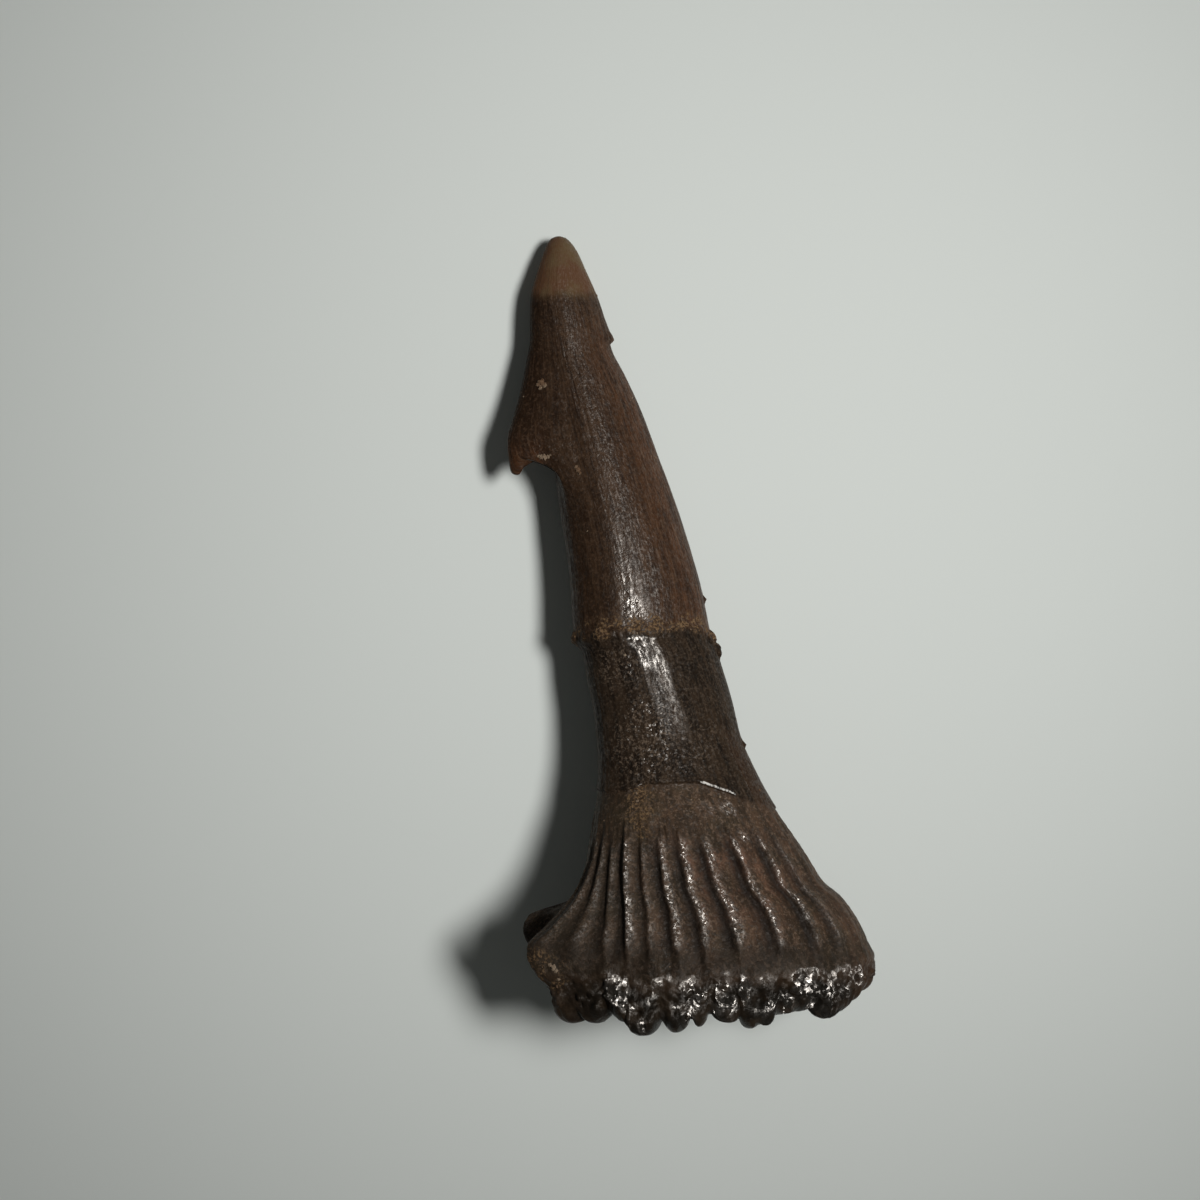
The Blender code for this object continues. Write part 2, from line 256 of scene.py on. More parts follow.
@dataclass(frozen=True)
class Side:
    """A soft strip down one side of the tooth, round an angle."""

    angle: float
    spread: float
    strong: float = 1.0

    def at(self, angle: Field) -> Field:
        """Return the strip's strength at each angle."""
        return self.strong * hill(turn(angle, self.angle), self.spread)


@dataclass(frozen=True)
class Patch:
    """A soft round patch: its middle's angle and station, its half width in degrees and its half length."""

    angle: float
    wide: float
    station: float
    long: float
    strong: float = 1.0


@dataclass(frozen=True)
class Skin:
    """Points of the tooth's plain skin, in rows from the tip and columns round it."""

    station: Field
    angle: Field
    column: Field
    x: Field
    z: Field
    out_x: Field
    out_z: Field

    def spots(self) -> Field:
        """Return the points as (x, station, z), for patterns that run no way in particular."""
        return np.stack((self.x, self.station, self.z), axis=-1)

    def lanes(self, girth: float, pull: float = 1.0) -> Field:
        """Return coordinates drawn out along the tooth, on a circle of that girth."""
        return lane_points(self.station, self.angle, girth, pull)

    def upward(self) -> Field:
        """Return 1 on the upper face, falling to 0 at the edges and underneath."""
        return rise(0.0, UPWARD_EDGE, np.sin(np.radians(self.angle)))

    def patches(self, *patches: Patch) -> Field:
        """Mark soft round patches.

        Args:
            patches: The patches to mark.

        Returns:
            Their sum at each point, each at its full strength in its middle and 0.37 of it at its edge.
        """
        total = 0
        for patch in patches:
            across = hill(turn(self.angle, patch.angle), patch.wide)
            total = total + patch.strong * (across * hill(self.station - patch.station, patch.long))
        return total


def flute_strength(tall: float) -> float:
    """Return how much a flute of that height counts, up to 1."""
    return min(tall / TALL_FLUTE, 1.0)


# ---------------------------------------------------------------- the tooth's own parts


@dataclass(frozen=True)
class Barb:
    """The hooked blade on the rear edge."""

    reach: Curve = Curve((
        (4.3, 0.0), (6.8, 0.25), (8.3, 0.65), (10.9, 1.5), (12.2, 2.05), (13.5, 2.6), (14.2, 2.72),
        (14.6, 2.7), (14.85, 2.66), (15.0, 2.55), (15.1, 2.32), (15.2, 2.14), (15.3, 2.07), (15.4, 1.79),
        (15.5, 1.48), (15.6, 1.18), (15.75, 0.57), (15.9, 0.0),
    ))
    hook: Curve = Curve((
        (14.3, 0.0), (14.6, 0.22), (14.85, 0.6), (15.0, 0.94), (15.1, 1.02), (15.2, 0.93), (15.3, 0.63),
        (15.4, 0.38), (15.5, 0.17), (15.6, 0.0),
    ))
    lift: Curve = Curve((
        (14.5, 0.0), (15.0, -0.2), (15.6, -0.71), (15.8, -0.92), (16.1, -0.92), (16.8, -0.45), (17.5, 0.0),
    ))
    swell: Curve = Curve((
        (4.3, 0.0), (6.8, 0.25), (8.3, 0.65), (10.9, 1.5), (12.2, 2.0), (13.4, 2.3), (14.6, 1.9), (16.2, 0.9),
        (17.6, 0.25), (19.0, 0.0),
    ))
    root: float = 0.4
    edge_root: float = 0.72
    hook_root: float = 0.9
    hook_full: float = 0.99
    lift_full: float = 0.94

    def blade(self, station: Field, rearward: Field) -> Field:
        """Return how far the barb reaches past the body: its thin edge, and the swell that it grows from."""
        edge = rise(self.edge_root, 1.0, rearward)
        return self.reach.at(station) * edge + self.swell.at(station) * (rise(self.root, 1.0, rearward) - edge)

    def sink(self, station: Field, rearward: Field) -> Field:
        """Return how far the barb's rows sink towards the base, less how far they lift behind it."""
        hook = self.hook.at(station) * rise(self.hook_root, self.hook_full, rearward)
        return hook + self.lift.at(station) * rise(self.edge_root, self.lift_full, rearward)


@dataclass(frozen=True)
class Body:
    """The plain body: crown, neck and flaring base, with the two flanges at the rear of the base."""

    tip_y: float = 25.77
    front_edge: Curve = Curve((
        (0.0, -8.4), (0.12, -8.17), (0.39, -7.84), (1.0, -7.4), (2.3, -6.8), (4.3, -5.93), (6.0, -5.4),
        (7.6, -5.02), (9.3, -4.2), (12.2, -2.92), (15.0, -1.88), (18.8, -0.5), (22.7, 0.65), (26.4, 1.45),
        (27.3, 1.78), (30.5, 2.73), (33.1, 3.38), (35.7, 4.58), (38.2, 6.02), (40.8, 7.7), (42.1, 8.5),
        (43.3, 9.86), (45.8, 11.32), (47.4, 11.75), (51.0, 11.8),
    ))
    rear_edge: Curve = Curve((
        (0.0, -8.75), (0.12, -8.95), (0.39, -9.22), (1.0, -9.5), (2.3, -9.95), (4.3, -10.42), (7.6, -10.1),
        (10.9, -9.7), (14.2, -9.2), (17.5, -8.6), (22.7, -7.82), (26.7, -7.52), (27.25, -7.1),
        (29.2, -6.7), (31.8, -6.2), (35.0, -6.0), (36.8, -6.25), (38.2, -6.35), (40.8, -6.7), (43.3, -7.0),
        (46.4, -7.4), (51.0, -7.9),
    ))
    upper_face: Curve = Curve((
        (0.0, 1.45), (0.35, 1.8), (1.0, 2.15), (2.3, 2.6), (4.3, 3.05), (9.0, 3.75), (14.0, 4.5),
        (20.0, 5.25), (26.6, 5.95), (33.0, 7.2), (36.0, 7.95), (39.5, 9.0), (43.3, 10.2), (46.4, 11.3),
        (48.5, 11.7), (51.0, 11.8),
    ))
    edge_level: Curve = Curve((
        (0.0, 1.2), (1.0, 1.3), (4.3, 1.65), (14.0, 2.2), (20.0, 2.6), (26.6, 3.1), (33.0, 4.0),
        (36.0, 4.5), (39.5, 5.0), (43.3, 5.7), (46.4, 6.1), (51.0, 6.2),
    ))
    lower_face: Curve = Curve((
        (0.0, 0.95), (0.35, 0.65), (1.0, 0.35), (2.3, 0.1), (4.3, -0.06), (6.5, -0.04), (9.0, 0.1),
        (14.0, 0.2), (20.0, 0.3), (26.6, 0.5), (33.0, 0.95), (36.0, 1.15), (39.5, 1.1), (43.3, 0.85),
        (46.4, 0.6), (51.0, 0.55),
    ))
    edge_sharpness: Curve = Curve((
        (0.0, 0.1), (3.0, 0.3), (8.0, 0.45), (15.0, 0.5), (22.0, 0.15), (35.0, 0.0), (44.0, -0.2),
        (51.0, -0.25),
    ))
    upper_flange: Curve = Curve((
        (40.5, 0.0), (42.0, 0.5), (43.3, 1.3), (44.5, 2.35), (45.8, 3.45), (46.4, 3.35), (47.4, 2.65),
        (48.2, 1.72), (49.0, 1.35), (49.8, 1.25), (51.0, 1.2),
    ))
    lower_flange: Curve = Curve((
        (42.6, 0.0), (43.3, 1.0), (43.8, 2.7), (44.2, 3.7), (45.1, 3.95), (46.4, 3.35), (48.2, 2.0),
        (51.0, 1.2),
    ))
    upper_flange_side: Side = Side(angle=163.0, spread=14.0)
    lower_flange_side: Side = Side(angle=199.0, spread=14.0)
    roll: float = math.tan(math.radians(10.0))
    roll_kept_below: float = 0.15
    chip: Curve = Curve(((5.4, 0.0), (6.3, 0.1), (6.85, 0.3), (7.15, -0.06), (8.6, 0.0)))
    chip_side: Side = Side(angle=0.0, spread=22.0)
    barb: Barb = Barb()

    def skin(self, station: Field, angle: Field, column: Field) -> Skin:
        """Place the plain skin.

        Args:
            station: Distance of each point from the tip.
            angle: Its angle round the section.
            column: Angle of the column that the point belongs to, before the crests sway.

        Returns:
            The points with their outward directions.
        """
        rear, front = self.rear_edge.at(station), self.front_edge.at(station)
        half = (front - rear) / 2
        along, across = np.cos(np.radians(angle)), np.sin(np.radians(angle))
        side = self.barb.blade(station, -along)
        side = side + self.upper_flange.at(station) * self.upper_flange_side.at(angle)
        side = side + self.lower_flange.at(station) * self.lower_flange_side.at(angle)
        level = self.edge_level.at(station)
        above, below = self.upper_face.at(station) - level, level - self.lower_face.at(station)
        height = np.where(across > 0, above, below)
        climb = np.sign(across) * np.abs(across) ** (1 + self.edge_sharpness.at(station))
        kept = np.where(across > 0, 1.0, 1 - (1 - self.roll_kept_below) * across * across)
        out_x, out_z = height * along, half * across
        length = np.hypot(out_x, out_z)
        return Skin(
            station=station,
            angle=angle,
            column=column,
            x=(front + rear) / 2 + half * along - side,
            z=level + height * climb + self.roll * (side - half * along) * kept,
            out_x=out_x / length,
            out_z=out_z / length,
        )

    def relief(self, skin: Skin) -> Field:
        """Return the height of the chip's corner on the front edge."""
        return self.chip.at(skin.station) * self.chip_side.at(skin.angle)


@dataclass(frozen=True)
class Enamel:
    """The worn, striated enamel of crown and neck."""

    reach: Reach = Reach(start=0.3, full=3.0, fade=35.8, gone=37.0)
    waves: Patchy = Patchy(size=3.6, seed=1, swing=0.035, octaves=2)
    streaks: Patchy = Patchy(size=0.7, seed=2, swing=0.014, octaves=2)
    streak_pull: float = 18.0
    hairs: Patchy = Patchy(size=0.3, seed=3, swing=0.012, octaves=2)
    hair_pull: float = 12.0
    grain_size: float = 0.42
    grain_height: float = 0.028
    grain_seed: int = 4
    dull_neck: Side = Side(angle=124.0, spread=22.0, strong=1.3)
    dull_neck_start: tuple[float, float] = (26.5, 27.6)
    dull_spots: tuple[Patch, ...] = (
        Patch(angle=128.0, wide=34.0, station=12.5, long=6.0),
        Patch(angle=85.0, wide=50.0, station=32.5, long=3.0, strong=0.7),
    )
    dull_share: Patchy = Patchy(size=2.6, seed=31, swing=0.9, level=0.5)
    shiny_crown: tuple[Patch, ...] = (
        Patch(angle=95.0, wide=8.5, station=24.6, long=1.0, strong=1.2),
        Patch(angle=99.0, wide=9.0, station=22.3, long=2.6, strong=0.55),
    )
    shiny_share: Patchy = Patchy(size=0.6, seed=33, swing=0.8, level=0.9)
    strip: Reach = Reach(start=26.2, full=26.5, fade=30.0, gone=34.0)
    strip_start: float = 27.0
    strip_angle: float = 91.5
    strip_turn: float = 1.5
    strip_edge: tuple[float, float] = (9.0, 12.5)
    strip_wander: Patchy = Patchy(size=0.7, seed=34, swing=2.0)
    strip_dims: tuple[float, float] = (27.6, 29.6)
    strip_dimming: float = 0.6
    strip_share: float = 0.7

    def dull(self, skin: Skin) -> Field:
        """Return where the enamel is granular: down the rear half of the neck and round the barb's root.

        Args:
            skin: Points of the plain skin.

        Returns:
            Its share, from 0 to 1.
        """
        neck = rise(*self.dull_neck_start, skin.station) * self.dull_neck.at(skin.angle)
        return np.clip((neck + skin.patches(*self.dull_spots)) * self.dull_share.at(skin.spots()), 0.0, 1.0)

    def polish(self, skin: Skin) -> Field:
        """Return where the enamel is polished: a strip on both sides of the break.

        Args:
            skin: Points of the plain skin.

        Returns:
            Its share, from 0 to 1.
        """
        middle = self.strip_angle - self.strip_turn * (skin.station - self.strip_start)
        side = np.abs(turn(skin.angle, middle)) + self.strip_wander.at(skin.spots())
        dimmed = 1 - self.strip_dimming * rise(*self.strip_dims, skin.station)
        strip = self.strip_share * (1 - rise(*self.strip_edge, side)) * self.strip.at(skin.station) * dimmed
        return np.clip((skin.patches(*self.shiny_crown) + strip) * self.shiny_share.at(skin.spots()), 0.0, 1.0)

    def relief(self, skin: Skin) -> Field:
        """Return the height of waves, streaks, hairlines and grains.

        Args:
            skin: Points of the plain skin.

        Returns:
            The height at each point.
        """
        waves = self.waves.at(skin.spots())
        streaks = self.streaks.at(skin.lanes(CROWN_GIRTH, self.streak_pull))
        hairs = self.hairs.at(skin.lanes(CROWN_GIRTH, self.hair_pull))
        coarse = self.grain_height * grains(skin.spots(), self.grain_size, self.grain_seed) * self.dull(skin)
        return (waves + streaks + hairs + coarse) * self.reach.at(skin.station)


@dataclass(frozen=True)
class HealedBreak:
    """The old break across the crown, with its crust of cemented sand."""

    line: Curve = Curve((
        (0.0, 26.9), (20.0, 26.3), (45.0, 25.8), (90.0, 26.0), (120.0, 26.2), (180.0, 26.7), (240.0, 26.9),
        (300.0, 27.1), (360.0, 26.9),
    ))
    middle: float = 26.4
    wander: Patchy = Patchy(size=1.3, seed=11, swing=0.2)
    crust_height: float = 0.09
    crust_spread: float = 0.38
    lumpy: Patchy = Patchy(size=0.6, seed=12, swing=0.1)
    lumpy_spread: float = 0.5
    groove_depth: float = 0.07
    groove_place: float = 0.46
    groove_spread: float = 0.16
    groove_side: tuple[float, float] = (-0.3, 0.5)
    knots: Rows = (  # angle, station, radius and height of each
        (2.0, 26.35, 0.38, 0.26), (2.0, 27.25, 0.5, 0.3), (-4.0, 23.9, 0.26, 0.22), (6.0, 33.35, 0.24, 0.2),
        (172.0, 26.45, 0.5, 0.16),
    )
    knot_girth: float = 4.5
    sand_place: float = -0.2
    sand_above: float = 0.85
    sand_below: float = 0.4
    sand_side: Side = Side(angle=100.0, spread=45.0, strong=0.45)
    sand_least: float = 0.55
    sand_gain: float = 1.3
    sand_share: Patchy = Patchy(size=0.9, seed=13, swing=0.9, level=0.62)

    def past(self, skin: Skin) -> Field:
        """Return how far each point lies past the break, which wanders a little."""
        return skin.station - self.line.at(skin.angle % 360.0) + self.wander.at(skin.lanes(CROWN_GIRTH))

    def relief(self, skin: Skin) -> Field:
        """Return the height of the crust, its lumps, and the knots of sand on the edges near it.

        Args:
            skin: Points of the plain skin.

        Returns:
            The height at each point.
        """
        past = self.past(skin)
        crust = self.crust_height * hill(past, self.crust_spread)
        crust = crust + self.lumpy.at(skin.spots()) * hill(past, self.lumpy_spread)
        groove = self.groove_depth * hill(past - self.groove_place, self.groove_spread)
        groove = groove * rise(*self.groove_side, np.sin(np.radians(skin.angle)))
        for angle, station, size, height in self.knots:
            across = turn(skin.angle, angle) * math.radians(self.knot_girth)
            near = (across**2 + (skin.station - station) ** 2) / size**2
            crust = crust + height * np.sqrt(np.clip(1 - near, 0, 1))
        return crust - groove

    def sand(self, skin: Skin) -> Field:
        """Return where the crust's sand shows, most of all on the middle of the upper face.

        Args:
            skin: Points of the plain skin.

        Returns:
            Its share, from 0 to 1.
        """
        past = self.past(skin) - self.sand_place
        band = np.where(past < 0, hill(past, self.sand_above), hill(past, self.sand_below))
        middle = self.sand_least + self.sand_side.at(skin.angle)
        return np.clip(band * self.sand_share.at(skin.spots()) * middle * self.sand_gain, 0.0, 1.0)


@dataclass(frozen=True)
class SheathEnd:
    """The ledge where the crown's enamel sheath ends above the fluted base, worn away on the front edge."""

    line: Curve = Curve((
        (0.0, 37.4), (30.0, 37.0), (52.0, 36.4), (70.0, 35.8), (80.0, 35.5), (116.0, 35.6), (124.0, 35.95),
        (180.0, 36.1), (220.0, 35.8), (270.0, 36.0), (330.0, 37.0), (360.0, 37.4),
    ))
    middle: float = 36.2
    wander: Patchy = Patchy(size=1.1, seed=21, swing=0.08)
    jags: Patchy = Patchy(size=0.34, seed=25, swing=0.05, octaves=2)
    depth: float = 0.17
    ledge: Reach = Reach(start=0.0, full=0.14, fade=0.5, gone=2.2)
    bare: Side = Side(angle=24.0, spread=20.0)
    lip_height: float = 0.05
    lip_place: float = -0.1
    lip_spread: float = 0.16
    lip_least: float = 0.3
    lip_side: Side = Side(angle=66.0, spread=16.0)
    crack: Curve = Curve(((32.9, 40.0), (33.3, 39.6), (34.6, 37.4), (36.6, 36.0)))
    crack_run: Reach = Reach(start=33.4, full=34.0, fade=35.9, gone=36.6)
    crack_spread: float = 0.42
    crack_depth: float = 0.05
    bare_edge: tuple[float, float] = (-2.5, 2.5)
    bare_start: tuple[float, float] = (31.5, 34.0)
    glint_place: float = -0.04
    glint_spread: float = 0.075
    glint_run: Reach = Reach(start=50.0, full=54.0, fade=72.0, gone=80.0)
    glint_swell: tuple[float, float] = (52.0, 70.0)
    glint_least: float = 0.55
    glint_share: Patchy = Patchy(size=0.7, seed=24, swing=0.9, level=0.9)
    sand_run: Reach = Reach(start=-0.05, full=0.15, fade=1.8, gone=4.4)
    sand_wander: Patchy = Patchy(size=0.9, seed=23, swing=0.6)
    sand_girth: float = 6.0
    sand_pull: float = 2.0
    sand_least: float = 0.12
    sand_sides: tuple[Side, ...] = (
        Side(angle=121.0, spread=8.5, strong=0.9), Side(angle=75.0, spread=25.0, strong=0.1),
    )
    sand_share: Patchy = Patchy(size=0.8, seed=22, swing=0.9, level=0.7)

    def past(self, skin: Skin) -> Field:
        """Return how far each point lies past the ledge.

        Args:
            skin: Points of the plain skin.

        Returns:
            The distance at each point, below 0 on the neck's side.
        """
        lanes = skin.lanes(CROWN_GIRTH)
        return skin.station - self.line.at(skin.angle % 360.0) + self.wander.at(lanes) + self.jags.at(lanes)

    def kept(self, skin: Skin) -> Field:
        """Return where the ledge is whole."""
        return 1 - self.bare.at(skin.angle)

    def relief(self, skin: Skin) -> Field:
        """Return the height of the ledge's lip and the step down off it.

        Args:
            skin: Points of the plain skin.

        Returns:
            The height at each point.
        """
        past = self.past(skin)
        lip = self.lip_height * hill(past - self.lip_place, self.lip_spread)
        lip = lip * (self.lip_least + self.lip_side.at(skin.angle))
        return (lip - self.depth * self.ledge.at(past)) * self.kept(skin) - self.crack_depth * self.cracked(skin)

    def cracked(self, skin: Skin) -> Field:
        """Return where the hairline crack runs down the front of the neck.

        Args:
            skin: Points of the plain skin.

        Returns:
            Its share, from 0 to 1.
        """
        across = turn(skin.angle, 0.0) - self.crack.at(skin.station)
        return hill(across, self.crack_spread) * self.crack_run.at(skin.station)

    def glint(self, skin: Skin) -> Field:
        """Return where the lip is polished.

        Args:
            skin: Points of the plain skin.

        Returns:
            Its share, from 0 to 1.
        """
        worn = np.clip(self.glint_share.at(skin.lanes(CROWN_GIRTH)), 0, 1)
        swell = self.glint_least + (1 - self.glint_least) * rise(*self.glint_swell, skin.angle)
        line = hill(self.past(skin) - self.glint_place, self.glint_spread)
        return line * self.glint_run.at(skin.angle) * swell * worn

    def behind_crack(self, skin: Skin) -> Field:
        """Return the strip between the crack and the front edge, where no sheath is left."""
        front = 1 - rise(*self.bare_edge, np.abs(turn(skin.angle, 0.0)) - self.crack.at(skin.station))
        return front * rise(*self.bare_start, skin.station)

    def sand(self, skin: Skin) -> Field:
        """Return where sand clings below the ledge, thickest on the rear half of the upper face.

        Args:
            skin: Points of the plain skin.

        Returns:
            Its share, from 0 to 1.
        """
        past = self.past(skin)
        ragged = past + self.sand_wander.at(skin.lanes(self.sand_girth, self.sand_pull))
        band = rise(self.sand_run.start, self.sand_run.full, past)
        band = band * (1 - rise(self.sand_run.fade, self.sand_run.gone, ragged))
        thick = self.sand_least + sum(side.at(skin.angle) for side in self.sand_sides)
        return np.clip(band * thick * self.sand_share.at(skin.spots()), 0.0, 1.0)


@dataclass(frozen=True)
class Flutes:
    """The ridges that fan out down the base, each steep on one side."""

    crests: Rows = (  # angle, width of the steep side, width of the gentle side and height of each
        (22.0, 3.0, 7.0, 0.16), (37.6, 3.2, 8.0, 0.28), (50.6, 3.5, 10.0, 0.42), (68.1, 4.0, 13.0, 0.5),
        (84.6, 3.8, 12.5, 0.48), (97.6, 3.4, 9.5, 0.42), (109.0, 3.6, 8.5, 0.44), (120.4, 3.0, 7.0, 0.26),
        (130.6, 3.6, 7.5, 0.44), (141.0, 3.0, 6.0, 0.28), (150.0, 3.0, 6.0, 0.26), (158.0, 3.0, 5.0, 0.24),
        (167.0, 3.0, 5.0, 0.2), (194.0, 4.0, 7.0, 0.28), (206.0, 4.0, 8.0, 0.34), (218.5, 4.5, 8.0, 0.4),
        (231.0, 4.0, 8.0, 0.34), (243.5, 4.5, 8.0, 0.44), (256.0, 4.0, 8.0, 0.36), (268.5, 4.5, 8.0, 0.42),
        (281.0, 4.0, 8.0, 0.36), (294.0, 4.5, 8.0, 0.44), (306.5, 4.0, 8.0, 0.36), (319.0, 4.5, 8.0, 0.4),
        (332.0, 4.0, 8.0, 0.3), (345.0, 4.0, 8.0, 0.2),
    )
    run: Curve = Curve((
        (38.0, 0.0), (39.2, 0.45), (40.8, 1.0), (44.8, 1.0), (46.6, 0.25), (47.5, 0.0),
    ))
    sway_run: Reach = Reach(start=37.0, full=40.0, fade=45.0, gone=47.0)
    sway_wander: Patchy = Patchy(size=2.4, seed=41, swing=0.11)
    sway_pull: float = 1.3
    slope_share: float = 0.62
    cord_height: float = 0.13
    cord_spread: float = 2.3
    glint_side: float = 0.5
    glint_spread: float = 1.9
    glint_wander: Patchy = Patchy(size=0.5, seed=45, swing=1.1, octaves=2)
    glint_run: Reach = Reach(start=38.6, full=39.6, fade=44.6, gone=46.2)
    glint_share: Patchy = Patchy(size=0.9, seed=44, swing=1.1, level=0.95)
    glint_pull: float = 1.5
    top_glints: tuple[Patch, ...] = (
        Patch(angle=61.0, wide=5.5, station=37.35, long=0.5, strong=1.5),
        Patch(angle=77.0, wide=4.0, station=37.25, long=0.3, strong=1.5),
        Patch(angle=60.0, wide=4.0, station=39.0, long=0.3, strong=1.5),
    )
    top_share: Patchy = Patchy(size=0.5, seed=46, swing=1.5, level=0.5, octaves=2)
    # Width and strength of the painted shade in the grooves.
    groove_shade_width: float = 0.85
    groove_shade_gain: float = 1.3
    base: Reach = Reach(start=36.6, full=39.0, fade=46.6, gone=48.2)
    strands: Patchy = Patchy(size=0.84, seed=42, swing=0.07)
    strand_pull: float = 8.0
    strand_start: float = 38.0
    strand_spread: float = 1.6
    grain_size: float = 0.38
    grain_height: float = 0.05
    grain_seed: int = 43
    grain_level: float = 0.4

    def sway(self, station: Field, column: Field) -> Field:
        """Return how far the crests sway to the side, in degrees. The columns sway with them."""
        lanes = lane_points(station, column, BASE_GIRTH, self.sway_pull)
        return self.sway_wander.at(lanes) * self.sway_run.at(station)

    def profile(self, column: Field) -> Field:
        """Return the height of the flutes at full run: one steep and one gentle side, and a cord on the crest.

        Args:
            column: Angles to read.

        Returns:
            The height at each point.
        """
        height = np.zeros_like(column)
        for centre, steep, gentle, tall in self.crests:
            off = turn(column, centre)
            share = np.clip(np.where(off > 0, off / steep, -off / gentle), 0, 1)
            slope = self.slope_share * tall * (1 + np.cos(np.pi * share)) / 2
            cord = self.cord_height * flute_strength(tall) * hill(off, self.cord_spread)
            height = np.maximum(height, slope + cord)
        return height

    def crest(self, skin: Skin) -> Field:
        """Return where the crests' cords lie, worn to a polish here and there.

        Args:
            skin: Points of the plain skin.

        Returns:
            Its share, from 0 to 1.
        """
        near = np.zeros_like(skin.column)
        column = skin.column + self.glint_side + self.glint_wander.at(skin.lanes(BASE_GIRTH))
        for centre, _, _, tall in self.crests:
            cord = flute_strength(tall) ** 2 * hill(turn(column, centre), self.glint_spread)
            near = np.maximum(near, cord)
        worn = np.clip(self.glint_share.at(skin.lanes(BASE_GIRTH, self.glint_pull)), 0, 1)
        top = skin.patches(*self.top_glints) * np.clip(self.top_share.at(skin.spots()), 0, 1)
        return np.maximum(near * worn * self.glint_run.at(skin.station), top)

    def shade(self, skin: Skin) -> Field:
        """Return where painted shade darkens the grooves, at the foot of each steep side.

        Args:
            skin: Points of the plain skin.

        Returns:
            Its share, from 0 to 1.
        """
        deep = np.zeros_like(skin.column)
        for centre, steep, _, tall in self.crests:
            foot = hill(turn(skin.column, centre + steep), self.groove_shade_width * steep)
            deep = np.maximum(deep, foot * flute_strength(tall))
        return deep * np.clip(self.run.at(skin.station) * self.groove_shade_gain, 0, 1)

    def relief(self, skin: Skin) -> Field:
        """Return the height of the flutes, the fine strands on them and their grain.

        Args:
            skin: Points of the plain skin.

        Returns:
            The height at each point.
        """
        flutes = self.profile(skin.column) * self.run.at(skin.station)
        stronger = 1 + hill(skin.station - self.strand_start, self.strand_spread)
        strands = stronger * self.strands.at(skin.lanes(BASE_GIRTH, self.strand_pull))
        read = grains(skin.spots(), self.grain_size, self.grain_seed)
        coarse = self.grain_height * (read - self.grain_level)
        return flutes + (strands + coarse) * self.base.at(skin.station)


class KnobSize(Enum):
    """Which measure of a rim knob is meant, by its place in the knob's row."""

    DROP = 2
    SWELL = 3


